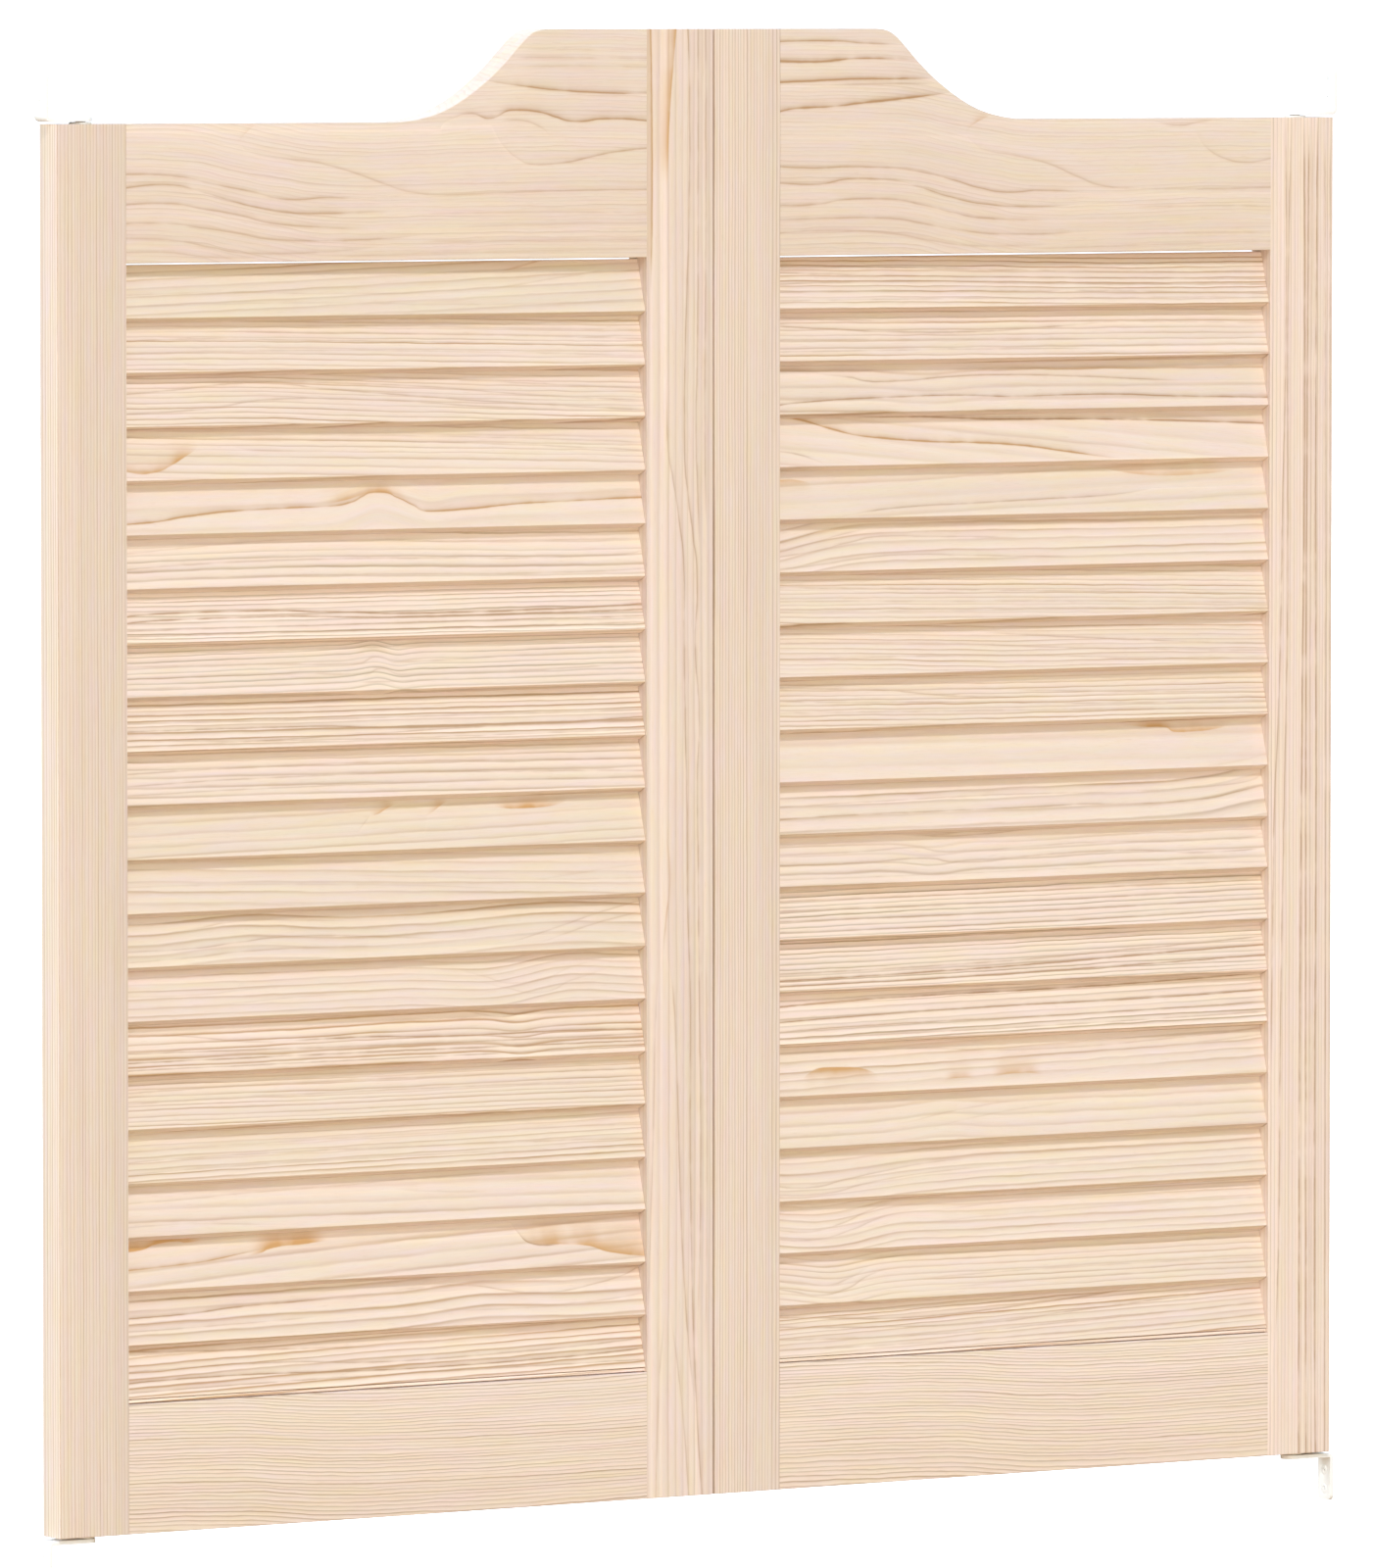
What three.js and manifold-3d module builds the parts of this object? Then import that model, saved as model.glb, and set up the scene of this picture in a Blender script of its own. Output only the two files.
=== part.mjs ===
// A pair of louvred pine swing doors for a cafe or bar opening.
// Two mirrored leaves hang on pin brackets and swing both ways between the jambs.
// Millimetres, +Z up. +X runs along the opening, the front faces -Y.
// The origin is at the middle of the opening, at mid thickness, level with the lower ends of the lower brackets.
import * as THREE from 'three';
import { mergeVertices } from 'three/addons/utils/BufferGeometryUtils.js';
import Module from 'manifold-3d';

const wasm = await Module();
wasm.setup();

// ---- leaf ----
const LEAF_WIDTH = 460.3;
const LEAF_THICKNESS = 21;
const LOW_HEIGHT = 844; // outer stile and low end of the top rail
const PEAK_HEIGHT = 900; // meeting stile and high end of the top rail
const MEETING_GAP = 1.8; // between the two leaves
const STILE_WIDTH = 47.4;
const STILE_EDGE_RADIUS = 1;
const BOTTOM_RAIL_HEIGHT = 78;
const TOP_RAIL_UNDERSIDE = 760.8;
// Upper edge of the top rail: distance from the leaf's outer edge, height above the leaf's foot.
const SWEEP = [
  [236, 844.0], [252, 846.0], [268, 850.5], [284, 858.6], [300, 869.6],
  [312, 880.0], [322, 890.0], [329, 896.2], [335, 899.1], [342, 900.0],
];
const SWEEP_STEPS = 26;

// ---- joints of the leaf frame ----
const FIT = 0.3; // gap left round every piece that is let into another
const TENON_LENGTH = 14;
const TENON_THICKNESS = 7;
const TENON_SHOULDER = 14; // from the rail's edge to its tenon

// ---- louvres ----
const LOUVRE_COUNT = 21;
const LOUVRE_PITCH = 32.35;
const LOUVRE_FIRST_EDGE = 727.6; // height of the top louvre's lower front edge
const LOUVRE_WIDTH = 32.8; // of the board, along its slope
const LOUVRE_THICKNESS = 7.5;
const LOUVRE_TILT = THREE.MathUtils.degToRad(16); // from upright, leaning back
const LOUVRE_CORNER = 0.9;
const LOUVRE_SETBACK = 1.8; // lower front edge behind the face of the stile
const LOUVRE_HOUSING = 8; // depth of the housing in the stile

// ---- pivots ----
const PIVOT_INSET = 22; // pivot axis from the leaf's outer edge
const PIVOT_CLEARANCE = 1.5; // between the leaf's ends and the bracket arms
const JAMB_GAP = 5.8; // between the leaf's outer edge and the jamb
const BRACKET_SHEET = 2.6;
const BRACKET_WIDTH = 14;
const BRACKET_HEIGHT = 30;
const BRACKET_BEND = 3.4; // outer radius of the bend
const BRACKET_CORNER = 3.5;
const ARM_PAST_PIVOT = 7;
const SCREW_HOLES = [11, 23]; // from the arm's face
const SCREW_HOLE_RADIUS = 1.9;
const SCREW_SINK_RADIUS = 3.6;
const PIN_RADIUS = 3;
const UPPER_PIN_LENGTH = 26;
const LOWER_PIN_LENGTH = 58;
const BUSH_BORE_RADIUS = 3.3;
const BUSH_SLEEVE_RADIUS = 5.4;
const BUSH_FLANGE_RADIUS = 6.8;
const BUSH_FLANGE = 2.6;
const BUSH_PROUD = 1.1; // flange standing out of the end of the stile
const BUSH_LENGTH = 14;
const SPRING_WIRE_RADIUS = 0.8;
const SPRING_COIL_RADIUS = 4.5;
const SPRING_TURNS = 7;
const SPRING_PITCH = 4.6;
const SPRING_FOOT = 16; // above the foot of the leaf
const SPRING_BORE_DEPTH = 58;

// ---- finishes ----
const PINE_STILE = 0xedd5b5;
const PINE_RAIL = 0xeacfae;
const PINE_LOUVRE = 0xe6c8a3;
const PAINTED = 0xece9e2;
const POLYMER = 0xe9e4d8;
const SPRING_STEEL = 0x9a9c9e;

const LEAF_FOOT = BRACKET_HEIGHT + PIVOT_CLEARANCE; // height of the leaf's foot
const OUTER_X = -(LEAF_WIDTH + MEETING_GAP / 2); // outer edge of the left leaf
const PIVOT_X = OUTER_X + PIVOT_INSET;
const HALF = LEAF_THICKNESS / 2;

// ---- helpers ----
function welded(geometry) {
  const g = geometry.clone();
  for (const name of Object.keys(g.attributes)) if (name !== 'position') g.deleteAttribute(name);
  g.clearGroups();
  return mergeVertices(g, 1e-4);
}

function toSolid(geometry) {
  const g = welded(geometry);
  const p = g.attributes.position;
  let index = Array.from(g.index.array);
  let volume = 0;
  const a = new THREE.Vector3(), b = new THREE.Vector3(), c = new THREE.Vector3();
  const kept = [];
  for (let i = 0; i < index.length; i += 3) {
    const [u, v, w] = [index[i], index[i + 1], index[i + 2]];
    if (u === v || v === w || u === w) continue;
    kept.push(u, v, w);
    a.fromBufferAttribute(p, u); b.fromBufferAttribute(p, v); c.fromBufferAttribute(p, w);
    volume += a.dot(b.cross(c));
  }
  index = kept;
  if (volume < 0) for (let i = 0; i < index.length; i += 3) [index[i + 1], index[i + 2]] = [index[i + 2], index[i + 1]];
  return new wasm.Manifold(new wasm.Mesh({
    numProp: 3,
    vertProperties: new Float32Array(p.array),
    triVerts: new Uint32Array(index),
  }));
}

function toGeometry(solid) {
  const m = solid.getMesh();
  const g = new THREE.BufferGeometry();
  const n = m.numProp;
  const position = new Float32Array((m.vertProperties.length / n) * 3);
  for (let i = 0; i < position.length / 3; i++) {
    for (let k = 0; k < 3; k++) position[3 * i + k] = m.vertProperties[n * i + k];
  }
  g.setAttribute('position', new THREE.BufferAttribute(position, 3));
  g.setIndex(Array.from(m.triVerts));
  g.computeVertexNormals();
  return g;
}

// The same shape on the other side of the opening.
function mirrored(geometry) {
  const g = welded(geometry);
  const p = g.attributes.position;
  for (let i = 0; i < p.count; i++) p.setX(i, -p.getX(i));
  const index = Array.from(g.index.array);
  for (let i = 0; i < index.length; i += 3) [index[i + 1], index[i + 2]] = [index[i + 2], index[i + 1]];
  g.setIndex(index);
  g.computeVertexNormals();
  return g;
}

function block(x0, x1, y0, y1, z0, z1) {
  const g = new THREE.BoxGeometry(x1 - x0, y1 - y0, z1 - z0);
  g.translate((x0 + x1) / 2, (y0 + y1) / 2, (z0 + z1) / 2);
  return g;
}

// An outline in X and Z, extruded through the thickness from y0 to y1.
function throughY(shape, y0, y1) {
  const g = new THREE.ExtrudeGeometry(shape, { depth: y1 - y0, bevelEnabled: false, curveSegments: 6 });
  g.rotateX(Math.PI / 2);
  g.translate(0, y1, 0);
  return g;
}

// An outline in Y and Z, extruded along the width from x0 to x1.
function throughX(shape, x0, x1) {
  const g = new THREE.ExtrudeGeometry(shape, { depth: x1 - x0, bevelEnabled: false, curveSegments: 6 });
  g.applyMatrix4(new THREE.Matrix4().set(0, 0, 1, 0, 1, 0, 0, 0, 0, 1, 0, 0, 0, 0, 0, 1));
  g.translate(x0, 0, 0);
  return g;
}

// An outline in X and Y, extruded upwards from z0 to z1.
function throughZ(shape, z0, z1, curveSegments = 6) {
  const g = new THREE.ExtrudeGeometry(shape, { depth: z1 - z0, bevelEnabled: false, curveSegments });
  g.translate(0, 0, z0);
  return g;
}

function upright(radiusTop, radiusFoot, z0, z1, x, y, sides = 18) {
  const g = new THREE.CylinderGeometry(radiusTop, radiusFoot, z1 - z0, sides);
  g.rotateX(Math.PI / 2);
  g.translate(x, y, (z0 + z1) / 2);
  return g;
}

function roundedRectangle(x0, x1, y0, y1, radius) {
  const s = new THREE.Shape();
  s.moveTo(x0 + radius, y0);
  s.lineTo(x1 - radius, y0);
  s.absarc(x1 - radius, y0 + radius, radius, -Math.PI / 2, 0);
  s.lineTo(x1, y1 - radius);
  s.absarc(x1 - radius, y1 - radius, radius, 0, Math.PI / 2);
  s.lineTo(x0 + radius, y1);
  s.absarc(x0 + radius, y1 - radius, radius, Math.PI / 2, Math.PI);
  s.lineTo(x0, y0 + radius);
  s.absarc(x0 + radius, y0 + radius, radius, Math.PI, 1.5 * Math.PI);
  return s;
}

// ---- louvre section, in Y and Z ----
const ALONG = new THREE.Vector2(Math.sin(LOUVRE_TILT), Math.cos(LOUVRE_TILT)); // up the slope, backwards
const ACROSS = new THREE.Vector2(ALONG.y, -ALONG.x); // through the louvre, from its front to its back

// Rounded rectangle whose lower front corner is at the given height. grow widens it on every side.
function louvreSection(edge, grow) {
  const middle = new THREE.Vector2(-HALF + LOUVRE_SETBACK, edge)
    .addScaledVector(ALONG, LOUVRE_WIDTH / 2).addScaledVector(ACROSS, LOUVRE_THICKNESS / 2);
  const a = LOUVRE_THICKNESS / 2 - LOUVRE_CORNER, b = LOUVRE_WIDTH / 2 - LOUVRE_CORNER, r = LOUVRE_CORNER + grow;
  const points = [[a + r, -b], [a + r, b], [a, b + r], [-a, b + r], [-a - r, b], [-a - r, -b], [-a, -b - r], [a, -b - r]];
  return new THREE.Shape(points.map(([across, along]) => middle.clone()
    .addScaledVector(ACROSS, across).addScaledVector(ALONG, along)));
}

const louvreEdge = (i) => LEAF_FOOT + LOUVRE_FIRST_EDGE - i * LOUVRE_PITCH;

// ---- pieces of the left leaf ----
const STILE_INNER = OUTER_X + STILE_WIDTH; // inner edge of the outer stile
const MEETING_INNER = OUTER_X + LEAF_WIDTH - STILE_WIDTH; // inner edge of the meeting stile
const MEETING_EDGE = OUTER_X + LEAF_WIDTH;
const BOTTOM_TENON = [TENON_SHOULDER, BOTTOM_RAIL_HEIGHT - TENON_SHOULDER];
const LOW_TENON = [TOP_RAIL_UNDERSIDE + TENON_SHOULDER, LOW_HEIGHT - TENON_SHOULDER - 8];
const HIGH_TENON = [TOP_RAIL_UNDERSIDE + TENON_SHOULDER, PEAK_HEIGHT - TENON_SHOULDER - 8];

function mortise(inner, direction, [low, high]) {
  const deep = TENON_LENGTH + FIT;
  const [x0, x1] = direction < 0 ? [inner - deep, inner + 5] : [inner - 5, inner + deep];
  const half = TENON_THICKNESS / 2 + FIT;
  return toSolid(block(x0, x1, -half, half, LEAF_FOOT + low - FIT, LEAF_FOOT + high + FIT));
}

function housings(stile, inner, direction) {
  const [x0, x1] = direction < 0 ? [inner - LOUVRE_HOUSING - FIT, inner + 5] : [inner - 5, inner + LOUVRE_HOUSING + FIT];
  for (let i = 0; i < LOUVRE_COUNT; i++) {
    stile = stile.subtract(toSolid(throughX(louvreSection(louvreEdge(i), FIT), x0, x1)));
  }
  return stile;
}

function outerStile() {
  const foot = LEAF_FOOT, top = LEAF_FOOT + LOW_HEIGHT;
  let s = toSolid(throughZ(roundedRectangle(OUTER_X, STILE_INNER, -HALF, HALF, STILE_EDGE_RADIUS), foot, top, 3));
  s = s.subtract(mortise(STILE_INNER, -1, BOTTOM_TENON)).subtract(mortise(STILE_INNER, -1, LOW_TENON));
  s = housings(s, STILE_INNER, -1);
  const seat = BUSH_FLANGE - BUSH_PROUD + FIT;
  s = s.subtract(toSolid(upright(BUSH_FLANGE_RADIUS + FIT, BUSH_FLANGE_RADIUS + FIT, foot - 5, foot + seat, PIVOT_X, 0, 18)));
  s = s.subtract(toSolid(upright(BUSH_SLEEVE_RADIUS + FIT, BUSH_SLEEVE_RADIUS + FIT, foot - 5, foot + SPRING_BORE_DEPTH, PIVOT_X, 0, 18)));
  s = s.subtract(toSolid(upright(BUSH_FLANGE_RADIUS + FIT, BUSH_FLANGE_RADIUS + FIT, top - seat, top + 5, PIVOT_X, 0, 18)));
  s = s.subtract(toSolid(upright(BUSH_SLEEVE_RADIUS + FIT, BUSH_SLEEVE_RADIUS + FIT, top - UPPER_PIN_LENGTH - 2, top + 5, PIVOT_X, 0, 18)));
  return toGeometry(s);
}

function meetingStile() {
  let s = toSolid(throughZ(roundedRectangle(MEETING_INNER, MEETING_EDGE, -HALF, HALF, STILE_EDGE_RADIUS), LEAF_FOOT, LEAF_FOOT + PEAK_HEIGHT, 3));
  s = s.subtract(mortise(MEETING_INNER, 1, BOTTOM_TENON)).subtract(mortise(MEETING_INNER, 1, HIGH_TENON));
  return toGeometry(housings(s, MEETING_INNER, 1));
}

function tenon(shoulder, direction, [low, high]) {
  const [x0, x1] = direction < 0 ? [shoulder - TENON_LENGTH, shoulder + 5] : [shoulder - 5, shoulder + TENON_LENGTH];
  return toSolid(block(x0, x1, -TENON_THICKNESS / 2, TENON_THICKNESS / 2, LEAF_FOOT + low, LEAF_FOOT + high));
}

const RAIL_X0 = STILE_INNER + FIT;
const RAIL_X1 = MEETING_INNER - FIT;

function bottomRail() {
  return toGeometry(toSolid(block(RAIL_X0, RAIL_X1, -HALF, HALF, LEAF_FOOT, LEAF_FOOT + BOTTOM_RAIL_HEIGHT))
    .add(tenon(RAIL_X0, -1, BOTTOM_TENON)).add(tenon(RAIL_X1, 1, BOTTOM_TENON)));
}

function topRail() {
  const sweep = new THREE.SplineCurve(SWEEP.map(([d, z]) => new THREE.Vector2(OUTER_X + d, LEAF_FOOT + z))).getPoints(SWEEP_STEPS);
  const outline = new THREE.Shape([
    new THREE.Vector2(RAIL_X0, LEAF_FOOT + TOP_RAIL_UNDERSIDE),
    new THREE.Vector2(RAIL_X1, LEAF_FOOT + TOP_RAIL_UNDERSIDE),
    new THREE.Vector2(RAIL_X1, LEAF_FOOT + PEAK_HEIGHT),
    ...sweep.reverse(),
    new THREE.Vector2(RAIL_X0, LEAF_FOOT + LOW_HEIGHT),
  ]);
  return toGeometry(toSolid(throughY(outline, -HALF, HALF))
    .add(tenon(RAIL_X0, -1, LOW_TENON)).add(tenon(RAIL_X1, 1, HIGH_TENON)));
}

function louvre(i) {
  const x0 = STILE_INNER - LOUVRE_HOUSING, x1 = MEETING_INNER + LOUVRE_HOUSING;
  return welded(throughX(louvreSection(louvreEdge(i), 0), x0, x1));
}

// ---- pivots of the left leaf ----
// A bent sheet: an arm across the end of the stile, with the pivot pin riveted in it, and a plate flat on the jamb,
// which runs away from the leaf. armFace is the arm's face towards the leaf, away is -1 for the lower bracket.
function bracket(armFace, away, pinLength) {
  const plateOuter = OUTER_X - JAMB_GAP;
  const tip = PIVOT_X + ARM_PAST_PIVOT;
  const z = (h) => armFace + away * h;
  const r = BRACKET_BEND, t = BRACKET_SHEET, inner = r - t;
  const bend = (centreX, centreH, radius, from, to, steps = 4) => {
    const points = [];
    for (let i = 0; i <= steps; i++) {
      const angle = from + (to - from) * (i / steps);
      points.push(new THREE.Vector2(centreX + radius * Math.cos(angle), z(centreH + radius * Math.sin(angle))));
    }
    return points;
  };
  const profile = new THREE.Shape([
    ...bend(plateOuter + r, r, r, Math.PI, 1.5 * Math.PI),
    new THREE.Vector2(tip, z(0)),
    new THREE.Vector2(tip, z(t)),
    ...bend(plateOuter + r, r, inner, 1.5 * Math.PI, Math.PI),
    new THREE.Vector2(plateOuter + t, z(BRACKET_HEIGHT)),
    new THREE.Vector2(plateOuter, z(BRACKET_HEIGHT)),
  ]);
  const half = BRACKET_WIDTH / 2;
  let s = toSolid(throughY(profile, -half, half));
  const low = Math.min(z(-5), z(BRACKET_HEIGHT + 5)), high = Math.max(z(-5), z(BRACKET_HEIGHT + 5));
  // rounded tip of the arm
  const plan = new THREE.Shape();
  plan.moveTo(plateOuter - 5, -half - 1);
  plan.lineTo(plateOuter + 6, -half - 1);
  plan.lineTo(plateOuter + 6, -half);
  plan.lineTo(tip - half, -half);
  plan.absarc(tip - half, 0, half, -Math.PI / 2, Math.PI / 2);
  plan.lineTo(plateOuter + 6, half);
  plan.lineTo(plateOuter + 6, half + 1);
  plan.lineTo(plateOuter - 5, half + 1);
  s = s.intersect(toSolid(throughZ(plan, low, high, 6)));
  // rounded corners of the plate
  const end = z(BRACKET_HEIGHT), other = z(-5);
  s = s.intersect(toSolid(throughX(
    roundedRectangle(-half, half, Math.min(end, other), Math.max(end, other), BRACKET_CORNER), plateOuter - 5, tip + 5)));
  // countersunk screw holes
  for (const h of SCREW_HOLES) {
    const hole = new THREE.CylinderGeometry(SCREW_HOLE_RADIUS, SCREW_HOLE_RADIUS, 12, 12);
    hole.rotateZ(Math.PI / 2);
    hole.translate(plateOuter + t / 2, 0, z(h));
    const depth = SCREW_SINK_RADIUS - SCREW_HOLE_RADIUS;
    const sink = new THREE.CylinderGeometry(SCREW_SINK_RADIUS + 1, SCREW_HOLE_RADIUS, depth + 1, 12);
    sink.rotateZ(-Math.PI / 2);
    sink.translate(plateOuter + t - depth / 2 + 0.5, 0, z(h));
    s = s.subtract(toSolid(hole)).subtract(toSolid(sink));
  }
  const pinEnds = [z(t / 2), z(-pinLength)];
  s = s.add(toSolid(upright(PIN_RADIUS, PIN_RADIUS, Math.min(...pinEnds), Math.max(...pinEnds), PIVOT_X, 0, 18)));
  return toGeometry(s);
}

// A flanged sleeve pressed into the end of the stile.
function bush(stileEnd, up) {
  const z = (h) => h - BUSH_PROUD;
  const chamfer = 0.5;
  const profile = [
    [BUSH_BORE_RADIUS, z(0)], [BUSH_FLANGE_RADIUS - chamfer, z(0)], [BUSH_FLANGE_RADIUS, z(chamfer)],
    [BUSH_FLANGE_RADIUS, z(BUSH_FLANGE)], [BUSH_SLEEVE_RADIUS, z(BUSH_FLANGE)],
    [BUSH_SLEEVE_RADIUS, z(BUSH_LENGTH)], [BUSH_BORE_RADIUS, z(BUSH_LENGTH)], [BUSH_BORE_RADIUS, z(0)],
  ].map(([radius, h]) => new THREE.Vector2(radius, h));
  const g = new THREE.LatheGeometry(profile, 18);
  g.rotateX(up > 0 ? Math.PI / 2 : -Math.PI / 2);
  g.translate(PIVOT_X, 0, stileEnd);
  return toGeometry(toSolid(g));
}

class Coil extends THREE.Curve {
  getPoint(t, target = new THREE.Vector3()) {
    const angle = t * SPRING_TURNS * 2 * Math.PI;
    return target.set(
      PIVOT_X + SPRING_COIL_RADIUS * Math.cos(angle),
      SPRING_COIL_RADIUS * Math.sin(angle),
      LEAF_FOOT + SPRING_FOOT + t * SPRING_TURNS * SPRING_PITCH);
  }
}

function closingSpring() {
  const wire = new THREE.Shape(Array.from({ length: 6 }, (_, i) => new THREE.Vector2(
    SPRING_WIRE_RADIUS * Math.cos((i * Math.PI) / 3), SPRING_WIRE_RADIUS * Math.sin((i * Math.PI) / 3))));
  return toGeometry(toSolid(new THREE.ExtrudeGeometry(wire, { steps: SPRING_TURNS * 10, extrudePath: new Coil(), bevelEnabled: false })));
}

// ---- assembly ----
const doors = new THREE.Group();
doors.name = 'cafe_swing_doors';

function finish(color, roughness, metalness) {
  return new THREE.MeshStandardMaterial({ color, roughness, metalness });
}

function addPair(group, name, geometry, color, roughness, metalness = 0) {
  const left = new THREE.Mesh(geometry, finish(color, roughness, metalness));
  left.name = `left_${name}`;
  const right = new THREE.Mesh(mirrored(geometry), finish(color, roughness, metalness));
  right.name = `right_${name}`;
  group.left.add(left);
  group.right.add(right);
}

const leaves = { left: new THREE.Group(), right: new THREE.Group() };
const jambs = { left: new THREE.Group(), right: new THREE.Group() };

addPair(leaves, 'outer_stile', outerStile(), PINE_STILE, 0.62);
addPair(leaves, 'meeting_stile', meetingStile(), PINE_STILE, 0.62);
addPair(leaves, 'top_rail', topRail(), PINE_RAIL, 0.62);
addPair(leaves, 'bottom_rail', bottomRail(), PINE_RAIL, 0.62);
for (let i = 0; i < LOUVRE_COUNT; i++) {
  addPair(leaves, `louvre_${String(i + 1).padStart(2, '0')}`, louvre(i), PINE_LOUVRE, 0.6);
}
addPair(leaves, 'upper_bush', bush(LEAF_FOOT + LOW_HEIGHT, -1), POLYMER, 0.45);
addPair(leaves, 'lower_bush', bush(LEAF_FOOT, 1), POLYMER, 0.45);
addPair(leaves, 'closing_spring', closingSpring(), SPRING_STEEL, 0.35, 1);
addPair(jambs, 'upper_bracket', bracket(LEAF_FOOT + LOW_HEIGHT + PIVOT_CLEARANCE, 1, UPPER_PIN_LENGTH), PAINTED, 0.4, 0.1);
addPair(jambs, 'lower_bracket', bracket(LEAF_FOOT - PIVOT_CLEARANCE, -1, LOWER_PIN_LENGTH), PAINTED, 0.4, 0.1);

doors.add(leaves.left, leaves.right, jambs.left, jambs.right);

export default doors;
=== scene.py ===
import math
import random

import bmesh
import bpy
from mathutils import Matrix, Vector


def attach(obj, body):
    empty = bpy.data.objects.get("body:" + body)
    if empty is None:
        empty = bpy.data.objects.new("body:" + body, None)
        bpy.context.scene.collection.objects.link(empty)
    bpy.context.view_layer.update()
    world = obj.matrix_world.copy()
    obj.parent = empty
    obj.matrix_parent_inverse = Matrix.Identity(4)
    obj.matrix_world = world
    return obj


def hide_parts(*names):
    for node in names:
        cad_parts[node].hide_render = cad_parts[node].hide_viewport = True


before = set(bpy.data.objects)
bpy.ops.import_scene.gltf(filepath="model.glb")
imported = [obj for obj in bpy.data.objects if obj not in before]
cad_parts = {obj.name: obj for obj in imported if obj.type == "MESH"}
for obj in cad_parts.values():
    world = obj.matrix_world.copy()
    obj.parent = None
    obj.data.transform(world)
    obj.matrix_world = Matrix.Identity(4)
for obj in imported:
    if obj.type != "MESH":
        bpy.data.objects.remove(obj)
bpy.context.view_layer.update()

MM = 0.001

# ---------------------------------------------------------------- dimensions, mm
LEAF_WIDTH, LEAF_THICKNESS = 460.3, 21.0
HALF = LEAF_THICKNESS / 2
LOW_HEIGHT, PEAK_HEIGHT = 844.0, 900.0
MEETING_GAP = 1.8
STILE_WIDTH = 47.4
BOTTOM_RAIL_HEIGHT, TOP_RAIL_UNDERSIDE = 78.0, 760.8
SWEEP = [(236, 844.0), (252, 846.0), (268, 850.5), (284, 858.6), (300, 869.6),
         (312, 880.0), (322, 890.0), (329, 896.2), (335, 899.1), (342, 900.0)]
LOUVRES, LOUVRE_PITCH, LOUVRE_FIRST_EDGE = 21, 32.35, 728.1
LOUVRE_WIDTH, LOUVRE_THICKNESS, LOUVRE_SETBACK = 33.2, 7.5, 1.8
LOUVRE_TILT = math.radians(16)
LOUVRE_HOUSING = 8.0
FOOT = 31.5
OUTER = LEAF_WIDTH + MEETING_GAP / 2
PIVOT_INSET, PIVOT_X = 22.0, OUTER - 22.0
JAMB_GAP, BRACKET_SHEET, CLEARANCE = 5.8, 2.6, 1.5
SCREW_HOLES = (11, 23)
ARRIS = 0.6  # rounding of the long edges
LOUVRE_EDGE = 0.45  # rounding of the louvres
LOUVRE_HEEL = 1.0  # how far their lower edge drops towards the back
SEAM = 0.3  # how far the meeting edges stand out towards each other
JOINT = 0.04  # hairline between rail and stile

rng = random.Random(7)


# ---------------------------------------------------------------- mesh helpers
def shaded(mesh, sharp=32):
    mesh.polygons.foreach_set("use_smooth", [True] * len(mesh.polygons))
    mesh.set_sharp_from_angle(angle=math.radians(sharp))
    mesh.update()


def made(name, verts, faces, sharp=32):
    bm = bmesh.new()
    vs = [bm.verts.new((x * MM, y * MM, z * MM)) for x, y, z in verts]
    for f in faces:
        bm.faces.new([vs[i] for i in f])
    bmesh.ops.recalc_face_normals(bm, faces=bm.faces)
    mesh = bpy.data.meshes.new(name)
    bm.to_mesh(mesh)
    bm.free()
    shaded(mesh, sharp)
    ob = bpy.data.objects.new(name, mesh)
    bpy.context.scene.collection.objects.link(ob)
    return ob


def lofted(loops):
    """Vertices and faces of a closed skin over loops of equal length."""
    n = len(loops[0])
    verts = [p for loop in loops for p in loop]
    faces = []
    for k in range(len(loops) - 1):
        for i in range(n):
            j = (i + 1) % n
            faces.append((k * n + i, k * n + j, (k + 1) * n + j, (k + 1) * n + i))
    faces.append(tuple(range(n)))
    faces.append(tuple((len(loops) - 1) * n + i for i in range(n)))
    return verts, faces


def rounded(a0, a1, b0, b1, r, steps=4):
    """Rounded rectangle as points, anticlockwise."""
    points = []
    for ca, cb, start in ((a1 - r, b0 + r, -90), (a1 - r, b1 - r, 0), (a0 + r, b1 - r, 90), (a0 + r, b0 + r, 180)):
        for i in range(steps + 1):
            t = math.radians(start + 90 * i / steps)
            points.append((ca + r * math.cos(t), cb + r * math.sin(t)))
    return points


def revolved(profile, x, sides=48):
    """A ring whose closed profile of (radius, height) turns about the upright axis at x."""
    n = len(profile)
    verts, faces = [], []
    for k in range(sides):
        t = 2 * math.pi * k / sides
        for r, z in profile:
            verts.append((x + r * math.cos(t), r * math.sin(t), z))
    for k in range(sides):
        m = (k + 1) % sides
        for i in range(n):
            j = (i + 1) % n
            faces.append((k * n + i, k * n + j, m * n + j, m * n + i))
    return verts, faces


def cut(ob, cutter, sharp=32):
    """Takes the cutter's solids out of ob."""
    mod = ob.modifiers.new("cut", "BOOLEAN")
    mod.operation, mod.solver, mod.object = "DIFFERENCE", "EXACT", cutter
    bpy.context.view_layer.update()
    mesh = bpy.data.meshes.new_from_object(ob.evaluated_get(bpy.context.evaluated_depsgraph_get()))
    old = ob.data
    ob.modifiers.clear()
    ob.data = mesh
    mesh.name = ob.name
    bpy.data.meshes.remove(old)
    mesh_c = cutter.data
    bpy.data.objects.remove(cutter)
    bpy.data.meshes.remove(mesh_c)
    shaded(mesh, sharp)


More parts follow.
